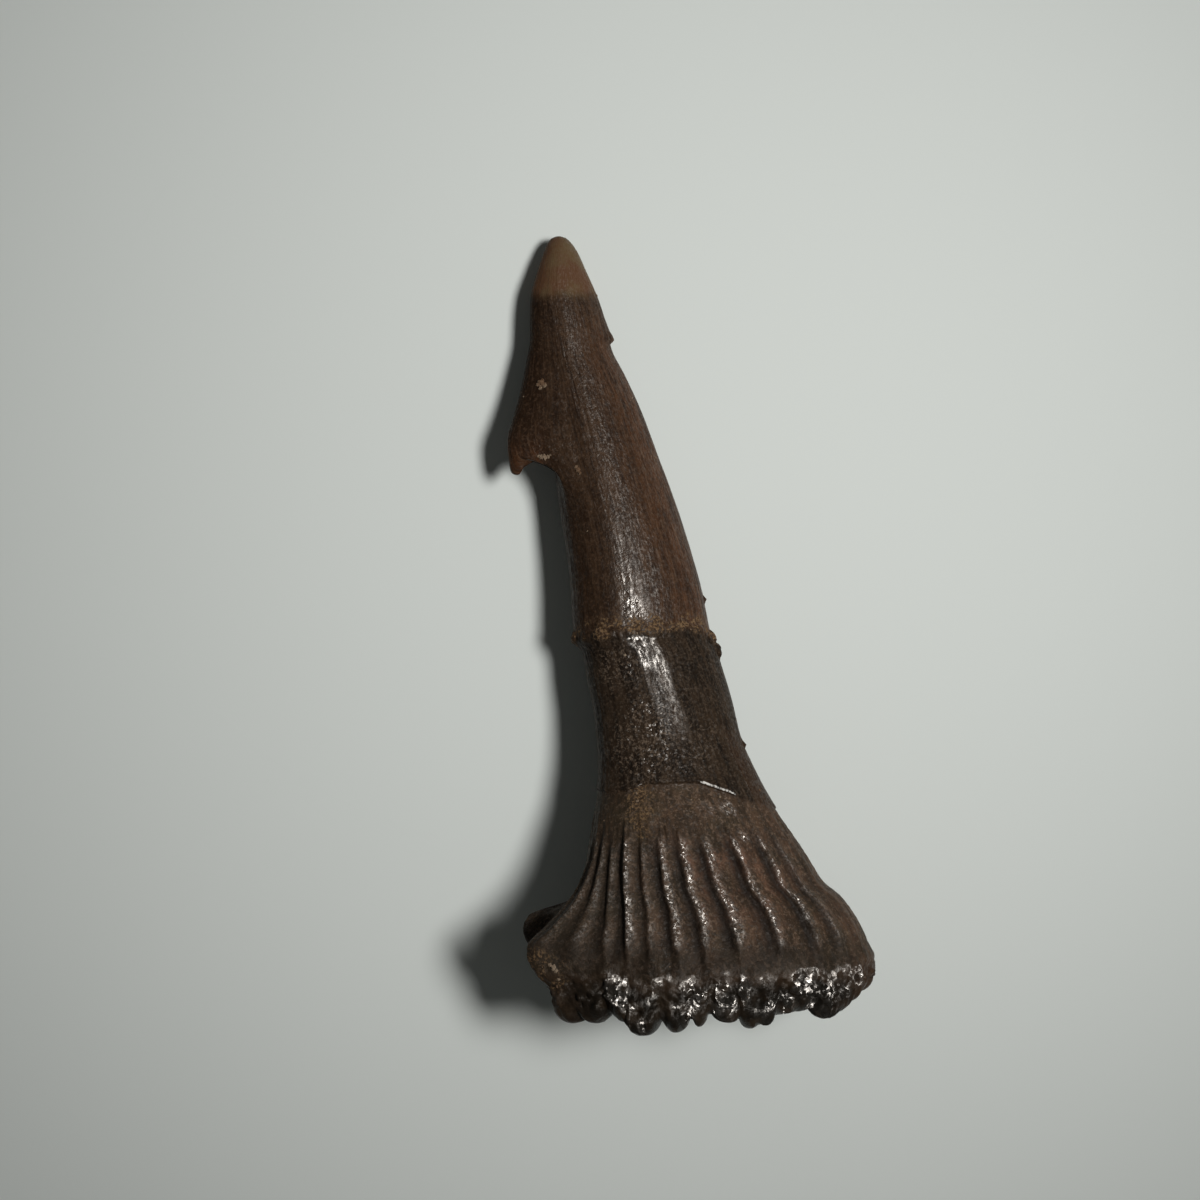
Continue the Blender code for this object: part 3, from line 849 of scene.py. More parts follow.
@dataclass(frozen=True)
class Rim:
    """The knobbly rim round the basal face."""

    start: float = 46.0
    nominal: float = 50.2
    valleys: Curve = Curve((
        (0.0, 48.5), (20.0, 49.1), (26.0, 49.25), (30.0, 49.4), (36.0, 49.75), (53.0, 49.85),
        (61.0, 49.85), (69.5, 50.1), (84.0, 50.15), (96.5, 49.88), (103.0, 50.15), (114.0, 50.2),
        (131.0, 50.15), (141.5, 49.85), (152.0, 50.15), (160.0, 50.05), (180.0, 49.4), (200.0, 49.6),
        (230.0, 50.0), (270.0, 50.2), (310.0, 49.9), (340.0, 49.1), (360.0, 48.5),
    ))
    knobs: Rows = (  # angle, half width in degrees, drop and swell of each
        (8.0, 8.0, 0.28, 0.2), (28.0, 6.0, 0.3, 0.3), (36.5, 4.5, 0.4, 0.3), (45.0, 6.8, 0.68, 0.45),
        (61.0, 5.0, 0.06, 0.35), (74.2, 3.4, 0.55, 0.36), (80.4, 4.3, 0.68, 0.42), (90.3, 5.0, 0.38, 0.42),
        (99.8, 2.7, 0.6, 0.36), (109.7, 5.2, 0.78, 0.42), (124.2, 7.8, 1.02, 0.52),
        (135.0, 4.4, 0.26, 0.4), (147.3, 4.9, 0.46, 0.36), (166.0, 12.0, 0.6, 0.26),
        (197.0, 10.0, 0.5, 0.3), (214.0, 8.0, 0.55, 0.4), (231.0, 8.0, 0.6, 0.45),
        (246.0, 9.0, 0.75, 0.95), (264.0, 7.0, 0.5, 0.3), (278.0, 7.0, 0.6, 0.3), (295.0, 10.0, 0.7, 0.95),
        (312.0, 7.0, 0.55, 0.4), (328.0, 8.0, 0.5, 0.35), (345.0, 8.0, 0.4, 0.25),
    )
    run: Curve = Curve(((46.4, 0.0), (47.6, 0.8), (48.6, 1.0), (51.0, 1.0)))
    start_wave: float = 0.45
    start_turns: int = 7
    radius: float = 1.15
    warts: Rows = (  # x, station, half width, half length and height of each
        (-8.4, 49.1, 0.9, 1.0, 0.3), (-7.05, 48.6, 0.28, 0.8, 0.25), (-4.75, 48.2, 0.95, 1.25, 0.42),
        (-3.2, 49.7, 0.3, 0.9, 0.22), (-2.3, 47.6, 0.45, 0.5, 0.26), (-0.25, 47.75, 0.85, 0.55, 0.3),
        (-0.25, 49.2, 0.9, 0.5, 0.34), (0.65, 48.3, 0.22, 0.7, 0.18), (1.7, 48.4, 0.4, 0.85, 0.34),
        (2.4, 48.8, 0.26, 0.5, 0.2), (3.1, 48.1, 0.38, 1.25, 0.34), (3.4, 49.6, 0.5, 0.6, 0.28),
        (4.15, 47.8, 0.34, 0.34, 0.2), (4.8, 48.95, 0.5, 0.5, 0.3), (5.8, 49.15, 0.4, 0.4, 0.24),
        (7.0, 47.55, 1.15, 0.5, 0.34), (6.5, 48.5, 0.42, 0.5, 0.22), (7.25, 48.6, 0.42, 0.5, 0.28),
        (8.5, 48.35, 0.58, 0.56, 0.3), (8.5, 49.4, 0.34, 0.4, 0.22), (9.5, 48.8, 0.5, 0.55, 0.24),
        (10.5, 48.1, 0.45, 0.6, 0.2),
    )
    pits: Rows = (  # the same, with their depth
        (-5.9, 48.0, 0.4, 0.6, 0.2), (-1.3, 48.9, 0.3, 0.6, 0.2), (-0.2, 48.35, 0.34, 0.26, 0.26),
        (2.6, 47.5, 0.4, 0.4, 0.14), (3.95, 48.6, 0.3, 0.5, 0.22), (5.4, 48.3, 0.4, 0.4, 0.18),
        (7.9, 49.2, 0.3, 0.4, 0.2),
    )
    mark_outline: Patchy = Patchy(size=0.7, seed=54, swing=0.5, level=1.0, octaves=2)
    mark_foot: float = 1.15
    hidden_warts: int = 46
    hidden_angles: tuple[float, float] = (175.0, 365.0)
    hidden_stations: tuple[float, float] = (47.2, 50.2)
    hidden_widths: tuple[float, float] = (2.5, 5.0)
    hidden_lengths: tuple[float, float] = (0.35, 0.9)
    hidden_heights: tuple[float, float] = (0.14, 0.3)
    seed: int = 7
    relief_start: tuple[float, float] = (46.6, 48.6)
    knob_share: float = 0.75
    knob_share_lost_above: float = 0.5
    wart_share: float = 0.6
    fold_size: float = 1.15
    fold_height: float = 0.14
    fold_seed: int = 52
    fold_girth: float = 8.0
    fold_pull: float = 1.5
    foil_size: float = 0.6
    foil_height: float = 0.1
    foil_seed: int = 53
    crease_level: float = 0.5
    polish_share: Patchy = Patchy(size=1.1, seed=55, swing=0.75, level=0.08)
    polish_front: Side = Side(angle=48.0, spread=17.0, strong=0.3)
    polish_raised: tuple[float, float] = (0.05, 0.17)
    polish_start: tuple[float, float] = (46.9, 47.5)
    polish_wander: Patchy = Patchy(size=1.0, seed=56, swing=0.45, octaves=2)
    dull_ends: tuple[Side, ...] = (
        Side(angle=152.0, spread=20.0, strong=0.8), Side(angle=8.0, spread=15.0, strong=0.7),
    )

    def drop(self, angle: Field) -> Field:
        """Return how far the knobs reach past the valleys between them."""
        return self.valleys.at(angle % 360.0) + self.domes(angle, KnobSize.DROP)

    def domes(self, angle: Field, size: KnobSize) -> Field:
        """Give the height of the row of knobs.

        Args:
            angle: Angles to read.
            size: The measure of each knob that is its height.

        Returns:
            The height of the knobs, sharp in the valleys between them.
        """
        height = np.zeros_like(angle)
        for knob in self.knobs:
            off = np.clip(np.abs(turn(angle, knob[0])) / knob[1], 0, 1)
            height = np.maximum(height, knob[size.value] * np.sqrt(1 - off * off))
        return height

    def stretch(self, row: Field, angle: Field) -> Field:
        """Return the stations of rows that are stretched to end at the rim."""
        share = (self.drop(angle) - self.start) / (self.nominal - self.start)
        return np.where(row > self.start, self.start + (row - self.start) * share, row)

    def spread_warts(self, skin: Skin) -> Field:
        """Return the height of the warts that are strewn over the sides that lie away from view.

        Args:
            skin: Points of the plain skin.

        Returns:
            The height at each point.
        """
        draw = random.Random(self.seed)
        height = np.zeros_like(skin.station)
        for _ in range(self.hidden_warts):
            angle, station = draw.uniform(*self.hidden_angles), draw.uniform(*self.hidden_stations)
            wide, long = draw.uniform(*self.hidden_widths), draw.uniform(*self.hidden_lengths)
            tall = draw.uniform(*self.hidden_heights)
            off = (turn(skin.angle, angle) / wide) ** 2 + ((skin.station - station) / long) ** 2
            height = np.maximum(height, tall * np.sqrt(np.clip(1 - off, 0, 1)))
        return height

    def marks(self, skin: Skin, marks: Rows) -> Field:
        """Give the height of warts, or the depth of pits, on the upper face.

        Args:
            skin: Points to read.
            marks: x, station, half width, half length and height of each.

        Returns:
            Their height at each point, tent-shaped and uneven in outline.
        """
        uneven = self.mark_outline.at(skin.spots())
        height = np.zeros_like(skin.station)
        for x, station, wide, long, tall in marks:
            off = np.sqrt(((skin.x - x) / wide) ** 2 + ((skin.station - station) / long) ** 2) * uneven
            height = np.maximum(height, tall * (1 - rise(0.0, self.mark_foot, off)))
        return height * skin.upward()

    def relief(self, skin: Skin) -> Field:
        """Return the height of the knobs, warts, pits, ripples and pebbles.

        Args:
            skin: Points of the plain skin.

        Returns:
            The height at each point.
        """
        wave = self.start_wave * np.sin(np.radians(skin.angle * self.start_turns))
        knobs = self.domes(skin.angle, KnobSize.SWELL) * self.run.at(skin.station + wave)
        knobs = knobs * (self.knob_share - self.knob_share_lost_above * skin.upward())
        warts = self.marks(skin, self.warts) + self.spread_warts(skin) - self.marks(skin, self.pits)
        folds = creases(skin.lanes(self.fold_girth, self.fold_pull), self.fold_size, self.fold_seed)
        foil = creases(skin.spots(), self.foil_size, self.foil_seed)
        fine = self.wart_share * warts + self.fold_height * (folds - self.crease_level) \
            + self.foil_height * (foil - self.crease_level)
        return knobs + fine * rise(*self.relief_start, skin.station)

    def polish(self, skin: Skin) -> Field:
        """Return where the rim is polished: most of all on its warts.

        Args:
            skin: Points of the plain skin.

        Returns:
            Its share, from 0 to 1.
        """
        patchy = self.polish_share.at(skin.spots()) + self.polish_front.at(skin.angle)
        raised = self.marks(skin, self.warts) + self.spread_warts(skin)
        shown = np.clip(patchy, 0, 1) + rise(*self.polish_raised, raised)
        start = rise(*self.polish_start, skin.station + self.polish_wander.at(skin.spots()))
        dull = sum(side.at(skin.angle) for side in self.dull_ends)
        return np.clip(shown, 0, 1) * start * (1 - dull)


@dataclass(frozen=True)
class BasalHollow:
    """The hollow basal face inside the rim."""

    depth: float = 3.3
    fold_height: float = 1.05
    bowl: float = 2.4
    pores: Patchy = Patchy(size=0.9, seed=61, swing=0.16)
    pore_fade: float = 4.0

    def ring(self, share: float, rim: Field, rim_radius: float, folds: Field) -> Field:
        """Place a ring of points on the basal face.

        Args:
            share: How far out from the middle the ring lies.
            rim: Points of the ring where the face starts.
            rim_radius: Radius of the rim's lip.
            folds: Height of the flutes at each point.

        Returns:
            The ring's points.
        """
        middle = rim.mean(axis=0)
        floor_y = middle[1] + self.depth - rim_radius / 2
        waves = self.fold_height * (folds / folds.max() - 0.5) * share * (1 - share)
        ring = middle + (rim - middle) * share
        ring[:, 1] = floor_y + (rim[:, 1] - floor_y) * share**self.bowl - waves
        ring[:, 1] += self.pores.at(ring) * min(1.0, self.pore_fade * (1 - share))
        return ring


@dataclass(frozen=True)
class Weave:
    """How the skin is sampled: columns round the tooth and rows along it."""

    columns: int = 320
    steps: int = 3600
    upper_gain: float = 0.9
    upper_side: tuple[float, float] = (-0.2, 0.3)
    crest_gain: float = 2.2
    crest_spread: float = 2.6
    runs: Rows = (  # first station, last station and number of rows of each run
        (0.02, 1.0, 7), (1.0, 13.4, 42), (13.4, 14.6, 8), (14.6, 16.2, 28), (16.2, 17.5, 7), (17.5, 25.4, 27),
        (25.4, 27.4, 22), (27.4, 35.2, 30), (35.2, 37.0, 20), (37.0, 46.4, 54), (46.4, 49.05, 28),
    )
    lip: tuple[float, ...] = (9.0, 22.0, 35.0, 48.0, 61.0, 74.0, 87.0, 102.0, 122.0, 146.0)
    hollow: tuple[float, ...] = tuple(np.linspace(0.955, 0.02, 17).tolist())
    bend_reach: float = 2.6

    def angles(self, crests: Rows) -> Field:
        """Return the columns' angles, closest together on the upper face and at the flutes' crests.

        Args:
            crests: The flutes' crests.

        Returns:
            The angle of each column, in degrees.
        """
        fine = np.linspace(0.0, 360.0, self.steps + 1)
        weight = 1.0 + self.upper_gain * rise(*self.upper_side, np.sin(np.radians(fine)))
        for centre, _, _, tall in crests:
            weight = weight + self.crest_gain * flute_strength(tall) * hill(turn(fine, centre), self.crest_spread)
        share = np.concatenate(([0.0], np.cumsum((weight[1:] + weight[:-1]) / 2)))
        return np.interp(np.arange(self.columns) / self.columns * share[-1], share, fine)

    def rows(self) -> Field:
        """Return the rows of the outer wall."""
        runs = (np.linspace(low, high, int(count), endpoint=False) for low, high, count in self.runs)
        return np.concatenate(tuple(runs))

    def bend(self, row: Field, angle: Field, line: Curve, middle: float) -> Field:
        """Bend rows to a line round the tooth.

        Args:
            row: Rows before bending.
            angle: Angle of each point.
            line: The line that the rows follow.
            middle: The row that lies on the line.

        Returns:
            How far each point moves along the tooth.
        """
        near = np.clip(1 - ((row - middle) / self.bend_reach) ** 2, 0, 1)
        return (line.at(angle % 360.0) - middle) * near * near


@dataclass(frozen=True)
class Stains:
    """Where the tooth's colours change, over and above the marks of its single parts."""

    mottle: Patchy = Patchy(size=1.6, seed=71)
    crown_edge: tuple[float, float] = (25.9, 26.7)
    tip_end: float = 4.0
    tip_edge: tuple[float, float] = (-0.4, 0.45)
    tip_mottle: float = 0.2
    neck_edge: tuple[float, float] = (0.0, 0.3)
    fluted_edge: tuple[float, float] = (0.0, 0.5)
    fluted_end: tuple[float, float] = (46.4, 47.8)
    hook_edge: tuple[float, float] = (-9.9, -9.2)
    hook_station: float = 15.2
    hook_spread: float = 1.8
    warm_front: Side = Side(angle=32.0, spread=38.0, strong=0.9)
    warm_start: tuple[float, float] = (3.0, 9.0)
    warm_bare: float = 0.3
    warm_slopes: Patch = Patch(angle=74.0, wide=34.0, station=41.8, long=3.2)
    warm_mottle: float = 0.6
    # Where the rear and lower side darken: partly the tooth's own tone, partly painted shade.
    dark_middle: float = 20.0
    dark_edge: tuple[float, float] = (94.0, 128.0)
    dark_mottle: float = 8.0
    dark_lost_on_hook: float = 0.9
    dark_fade: tuple[float, float] = (13.0, 19.0)
    dark_lost_behind: float = 0.4
    crust_side: Side = Side(angle=166.0, spread=12.0)
    crust_station: float = 47.0
    crust_long: float = 1.3
    crust_level: float = 0.4
    rim_steps: Rows = (  # share, start, end and mottle of each
        (0.55, 44.8, 46.5, 0.7), (0.45, 47.3, 48.2, 0.4),
    )
    brown_ends: tuple[Side, ...] = (
        Side(angle=12.0, spread=18.0, strong=0.6), Side(angle=166.0, spread=14.0, strong=0.4),
    )
    grain_share: float = 0.8
    grain_fade: tuple[float, float] = (45.4, 46.4)
    crack_share: float = 0.3
    hollow: tuple[tuple[Zone, float], ...] = (
        (Zone.RIM, 0.55), (Zone.SAND, 0.3), (Zone.GRAIN, 0.8), (Zone.DARK_AND_SHADE, 0.5),
    )

    def hook(self, skin: Skin) -> Field:
        """Return where the barb's hook is."""
        return (1 - rise(*self.hook_edge, skin.x)) * hill(skin.station - self.hook_station, self.hook_spread)

    def tip(self, station: Field, mottle: Field) -> Field:
        """Return where the amber tip is."""
        return 1 - rise(*self.tip_edge, station - self.tip_end + self.tip_mottle * mottle)

    def warm(self, skin: Skin, mottle: Field, crown: Field, bare: Field, fluted: Field) -> Field:
        """Return where the surface is reddish: crown's front, hook, bare edge and the flutes' slopes.

        Args:
            skin: The skin of wall and lip.
            mottle: Mottle of the stains.
            crown: Where the crown is.
            bare: Where the neck has lost its sheath.
            fluted: Where the fluted base is.

        Returns:
            Its share, from 0 to 1.
        """
        front = self.warm_front.at(skin.angle) * rise(*self.warm_start, skin.station)
        upper = crown * np.clip(front + self.hook(skin), 0, 1) + self.warm_bare * (1 - crown) * bare
        slopes = np.clip(skin.patches(self.warm_slopes) * (1 + self.warm_mottle * mottle), 0, 1)
        return np.maximum(upper, slopes * fluted)

    def dark(self, skin: Skin, mottle: Field) -> Field:
        """Return where the surface is darkest: its rear and lower side, partly own tone and partly painted shade.

        Args:
            skin: The skin of wall and lip.
            mottle: Mottle of the stains.

        Returns:
            Its share, from 0 to 1.
        """
        away = np.abs(turn(skin.angle, self.dark_middle)) + self.dark_mottle * mottle
        dark = rise(*self.dark_edge, away) * (1 - self.dark_lost_on_hook * self.hook(skin))
        return dark * (1 - self.dark_lost_behind * rise(*self.dark_fade, skin.station))

    def crust(self, skin: Skin, mottle: Field) -> Field:
        """Return where sand clings to the rear end of the rim."""
        along = hill(skin.station - self.crust_station, self.crust_long)
        return self.crust_side.at(skin.angle) * along * (self.crust_level + mottle)

    def rim(self, skin: Skin, mottle: Field) -> Field:
        """Return where the rim's near-black lies, in two steps, with browner ends.

        Args:
            skin: The skin of wall and lip.
            mottle: Mottle of the stains.

        Returns:
            Its share, from 0 to 1.
        """
        steps = (
            share * rise(start, end, skin.station + uneven * mottle) for share, start, end, uneven in self.rim_steps
        )
        return sum(steps) * (1 - sum(side.at(skin.angle) for side in self.brown_ends))


@dataclass
class SawfishTooth:
    """The whole tooth: its parts, its mesh and its zones."""

    body: Body = field(default_factory=Body)
    enamel: Enamel = field(default_factory=Enamel)
    healed: HealedBreak = field(default_factory=HealedBreak)
    sheath: SheathEnd = field(default_factory=SheathEnd)
    flutes: Flutes = field(default_factory=Flutes)
    rim: Rim = field(default_factory=Rim)
    hollow: BasalHollow = field(default_factory=BasalHollow)
    stains: Stains = field(default_factory=Stains)
    weave: Weave = field(default_factory=Weave)
    clearance: float = 0.002
    soft_stop: float = 0.1

    def relief(self, skin: Skin) -> Field:
        """Return how far the dressed surface stands out from the plain skin."""
        parts = (self.body, self.enamel, self.healed, self.sheath, self.flutes, self.rim)
        return sum(part.relief(skin) for part in parts)

    def outside(self) -> tuple[Field, Skin]:
        """Place the outer wall and the rim's lip.

        Returns:
            The points in rings from the tip, and the skin that they stand on.
        """
        wall_rows = self.weave.rows()
        rows = np.concatenate((wall_rows, np.full(len(self.weave.lip), self.rim.nominal)))
        turned = np.radians(np.concatenate((np.zeros(len(wall_rows)), self.weave.lip)))[:, None]
        row, column = np.meshgrid(rows, self.weave.angles(self.flutes.crests), indexing="ij")
        angle = column - self.flutes.sway(row, column)
        row = row + self.weave.bend(row, angle, self.healed.line, self.healed.middle) \
            + self.weave.bend(row, angle, self.sheath.line, self.sheath.middle)
        skin = self.body.skin(row, angle, column)
        inset = self.rim.radius * (1 - np.cos(turned))
        back = self.rim.radius * (1 - np.sin(turned)) * (turned > 0)
        out = self.relief(skin) - inset
        rearward = -np.cos(np.radians(angle))
        y = self.body.tip_y - self.rim.stretch(row, angle) - self.body.barb.sink(row, rearward) + back
        return np.stack((skin.x + skin.out_x * out, y, skin.z + skin.out_z * out), axis=-1), skin

    def inside(self, last: Field) -> Field:
        """Return the rings of the basal face, from the lip's last ring inwards.

        Args:
            last: The lip's last ring.

        Returns:
            The rings' points.
        """
        folds = self.flutes.profile(self.weave.angles(self.flutes.crests))
        rings = [self.hollow.ring(share, last, self.rim.radius, folds) for share in self.weave.hollow]
        return np.stack(rings)

    def zones(self, skin: Skin, inner: int) -> dict[str, Field]:
        """Mark the zones.

        Args:
            skin: The skin of wall and lip.
            inner: How many rings the basal face has.

        Returns:
            The share of each zone at every point, in the order of the rings.
        """
        stains, station = self.stains, skin.station
        mottle = stains.mottle.at(skin.spots())
        past = self.sheath.past(skin)
        bent = station - self.healed.line.at(skin.angle % 360.0) + self.healed.middle
        crown = 1 - rise(*stains.crown_edge, bent)
        fluted = rise(*stains.fluted_edge, past) * (1 - rise(*stains.fluted_end, station))
        sand = self.healed.sand(skin) + self.sheath.sand(skin) + stains.crust(skin, mottle)
        grain = self.enamel.dull(skin) + fluted * stains.grain_share * (1 - rise(*stains.grain_fade, station))
        polish = self.enamel.polish(skin) + self.flutes.crest(skin) + self.rim.polish(skin)
        marked = {
            Zone.TIP: stains.tip(station, mottle),
            Zone.NECK: (1 - crown) * (1 - rise(*stains.neck_edge, past)),
            Zone.WARM: stains.warm(skin, mottle, crown, self.sheath.behind_crack(skin), fluted),
            Zone.SAND: np.clip(sand, 0, 1),
            Zone.FLUTED: fluted,
            Zone.GROOVE_SHADE: self.flutes.shade(skin),
            Zone.RIM: stains.rim(skin, mottle),
            Zone.GRAIN: np.clip(grain, 0, 1),
            Zone.POLISH: np.clip(polish, 0, 1),
            Zone.DARK_AND_SHADE: stains.dark(skin, mottle),
            # pale crack hairline, and the painted highlight along the ledge's lip
            Zone.PALE_AND_HIGHLIGHT: np.maximum(stains.crack_share * self.sheath.cracked(skin), self.sheath.glint(skin)),
        }
        ends = dict(stains.hollow)
        columns = station.shape[1]
        full = {}
        for zone, share in marked.items():
            inner_share = np.linspace(share[-1], np.full(columns, ends.get(zone, 0.0)), inner + 1)[1:]
            full[zone.value] = np.concatenate((share, inner_share)).ravel()
        return full

    def fit(self, points: Field) -> Field:
        """Keep the points inside the CAD node's box, flat on the floor.

        Args:
            points: Points in millimetres.

        Returns:
            The points in metres. Only what comes within a hair of the box's walls is eased inwards.
        """
        low, high = (np.array(corner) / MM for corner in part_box(NODE))
        low, high = low + self.clearance, high - self.clearance
        log.info("fine surface %s to %s mm", points.min(axis=(0, 1)).round(3), points.max(axis=(0, 1)).round(3))
        for axis in range(3):
            place = points[..., axis]
            place = high[axis] - self.ease(high[axis] - place)
            points[..., axis] = low[axis] + self.ease(place - low[axis]) if axis < 2 else np.maximum(place, 0.0)
        return points * MM

    def ease(self, room: Field) -> Field:
        """Return distances to a wall that ease out before they reach it, and never pass it."""
        return np.where(room < self.soft_stop, self.soft_stop * np.exp(room / self.soft_stop - 1), room)

    def mesh(self) -> bpy.types.Mesh:
        """Build the mesh by extruding a circle from ring to ring.

        Returns:
            The closed mesh with its zones and lanes as attributes.
        """
        wall, skin = self.outside()
        inner = self.inside(wall[-1])
        rings = self.fit(np.concatenate((wall, inner)))
        bm = bmesh.new()
        bmesh.ops.create_circle(bm, cap_ends=True, segments=self.weave.columns, radius=MM)
        verts, edges, ordered = list(bm.verts), list(bm.edges), []
        for number, ring in enumerate(rings):
            if number:
                made = bmesh.ops.extrude_edge_only(bm, edges=edges)["geom"]
                edges = [item for item in made if isinstance(item, bmesh.types.BMEdge)]
                new = {item for item in made if isinstance(item, bmesh.types.BMVert)}
                verts = [next(e.other_vert(v) for e in v.link_edges if e.other_vert(v) in new) for v in verts]
            for vert, place in zip(verts, ring.tolist()):
                vert.co = place
            ordered.extend(verts)
        bmesh.ops.holes_fill(bm, edges=edges)
        bmesh.ops.recalc_face_normals(bm, faces=bm.faces)
        bm.verts.index_update()
        order = np.array([vert.index for vert in ordered])
        mesh = bpy.data.meshes.new("fossil_tooth")
        bm.to_mesh(mesh)
        bm.free()
        mesh.shade_smooth()
        lanes = np.concatenate((skin.lanes(CROWN_GIRTH).reshape(-1, 3), inner.reshape(-1, 3)))
        self.write(mesh, order, self.zones(skin, len(inner)), lanes)
        return mesh

    def write(self, mesh: bpy.types.Mesh, order: Field, zones: dict[str, Field], lanes: Field) -> None:
        """Write the zones and lanes as point attributes.

        Args:
            mesh: The mesh to write to.
            order: Index in the mesh of each point in ring order.
            zones: The share of each zone at every point in ring order.
            lanes: Coordinates along the tooth, in ring order.
        """
        for name, share in zones.items():
            values = np.zeros(len(order), dtype=np.float32)
            values[order] = share
            mesh.attributes.new(name, "FLOAT", "POINT").data.foreach_set("value", values)
        placed = np.zeros((len(order), 3), dtype=np.float32)
        placed[order] = lanes
        mesh.attributes.new(LANE, "FLOAT_VECTOR", "POINT").data.foreach_set("vector", placed.ravel())

    def build(self, finish: "FossilFinish") -> bpy.types.Object:
        """Make the tooth and set it in the frame.

        Args:
            finish: The finish that the tooth wears.

        Returns:
            The tooth, standing for the CAD node.
        """
        tooth = bpy.data.objects.new("fossil_tooth", self.mesh())
        tooth.data.materials.append(finish.material())
        bpy.context.scene.collection.objects.link(tooth)
        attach(tooth, BODY)
        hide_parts(NODE)
        return tooth


@dataclass
class StuckSand:
    """Grains of sand cemented to the tooth, as one joined mesh."""

    placed: Rows = (  # x, station and radius of each
        (-9.72, 9.88, 0.24), (-9.5, 10.02, 0.17), (-9.94, 10.0, 0.13), (-9.6, 9.68, 0.12), (-9.74, 10.2, 0.12),
        (-9.86, 14.66, 0.12), (-9.68, 14.73, 0.17), (-9.44, 14.74, 0.19), (-9.24, 14.7, 0.13), (-9.1, 14.6, 0.08),
        (-7.42, 15.38, 0.13), (-7.3, 15.56, 0.18), (-7.18, 15.78, 0.14), (-4.2, 11.1, 0.07),
        (-9.0, 46.8, 0.18), (-8.78, 46.98, 0.16), (-8.6, 47.16, 0.13), (-8.45, 47.7, 0.12),
    )
    strewn: int = 90
    strewn_sizes: tuple[float, float] = (0.045, 0.1)
    strewn_anywhere: float = 0.004
    large: float = 0.1
    stretch: tuple[tuple[float, float], ...] = ((0.75, 1.25), (0.65, 1.0), (0.6, 0.9))
    knock_depth: float = 0.5
    knock_count: float = 1.5
    knock_shift: float = 900.0
    flat: float = 0.65
    sunk: float = 0.45
    margin: float = 1.3
    cast_height: float = 30.0
    seed: int = 3

    def grain(self, bm: bmesh.types.BMesh, place: Vector, normal: Vector, size: float, draw: random.Random) -> None:
        """Add one angular grain, flattened towards the tooth.

        Args:
            bm: The mesh that takes it.
            place: Its middle, in metres.
            normal: Outward direction of the surface under it.
            size: Its radius, in millimetres.
            draw: Source of its shape and turn.
        """
        made = bmesh.ops.create_icosphere(bm, subdivisions=3 if size > self.large else 2, radius=size * MM)["verts"]
        stretch = Vector([draw.uniform(*span) for span in self.stretch])
        turned = Euler([draw.uniform(0, math.tau) for _ in range(3)]).to_matrix()
        shift = Vector((size * self.knock_shift, 0, 0))
        for vert in made:
            knocked = 1 + self.knock_depth * noise.noise(vert.co / (size * MM) * self.knock_count + shift)
            away = turned @ (vert.co * stretch * knocked)
            vert.co = away - normal * away.dot(normal) * (1 - self.flat)
        bmesh.ops.translate(bm, vec=place, verts=made)

    def spots(self, tooth: bpy.types.Object, draw: random.Random) -> list[tuple[Vector, Vector, float]]:
        """Find where the grains sit.

        Args:
            tooth: The tooth that carries them.
            draw: Source of the strewn grains.

        Returns:
            Place, outward direction and radius of each grain.
        """
        tree = BVHTree.FromPolygons(
            [vert.co for vert in tooth.data.vertices], [poly.vertices for poly in tooth.data.polygons]
        )
        found = []
        for x, station, size in self.placed:
            above = Vector((x, Body.tip_y - station, self.cast_height)) * MM
            place, normal, _, _ = tree.ray_cast(above, Vector((0, 0, -1)))
            if place is not None:
                found.append((place, normal, size))
        sand = np.zeros(len(tooth.data.vertices), dtype=np.float32)
        tooth.data.attributes[Zone.SAND.value].data.foreach_get("value", sand)
        weights = (sand**2 + self.strewn_anywhere).tolist()
        for index in draw.choices(range(len(weights)), weights, k=self.strewn):
            vert = tooth.data.vertices[index]
            found.append((vert.co.copy(), vert.normal.copy(), draw.uniform(*self.strewn_sizes)))
        return found

    def build(self, tooth: bpy.types.Object, finish: "SandFinish") -> bpy.types.Object:
        """Make the grains.

        Args:
            tooth: The tooth that carries them.
            finish: The grains' finish.

        Returns:
            One object with every grain.
        """
        draw = random.Random(self.seed)
        low, high = (np.array(corner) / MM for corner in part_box(NODE))
        bm = bmesh.new()
        for place, normal, size in self.spots(tooth, draw):
            centre = place + normal * size * MM * self.flat * (1 - 2 * self.sunk)
            middle, room = np.array(centre) / MM, size * self.margin
            if all(low + room < middle) and all(middle < high - room):
                self.grain(bm, centre, normal, size, draw)
        mesh = bpy.data.meshes.new("stuck_sand_grains")
        bm.to_mesh(mesh)
        bm.free()
        mesh.materials.append(finish.material())
        sand = bpy.data.objects.new("stuck_sand_grains", mesh)
        bpy.context.scene.collection.objects.link(sand)
        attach(sand, BODY)
        return sand


# ---------------------------------------------------------------- finishes


@dataclass(frozen=True)
class Pattern:
    """A noise pattern of a finish.

    Its size is in millimetres, low and high are the span of the noise that it shows, and detail and rough are the
    number and the strength of its finer octaves. A pattern with a pull is drawn out that much along the tooth.
    """

    size: float
    low: float = 0.0
    high: float = 1.0
    detail: float = 3.0
    rough: float = 0.55
    to_low: float = 0.0
    to_high: float = 1.0
    pull: float = 0.0


@dataclass(frozen=True)
class FineRelief:
    """Relief too fine to model: a pattern, its depth in millimetres and how strongly it shows."""

    pattern: Pattern
    depth: float
    strong: float = 1.0


@dataclass(frozen=True)
class Facets:
    """Small facets that catch the light one by one: their size in millimetres and how far they tilt."""

    size: float
    tilt: float = 0.0
    wander_size: float = 0.0
    wander_reach: float = 0.0


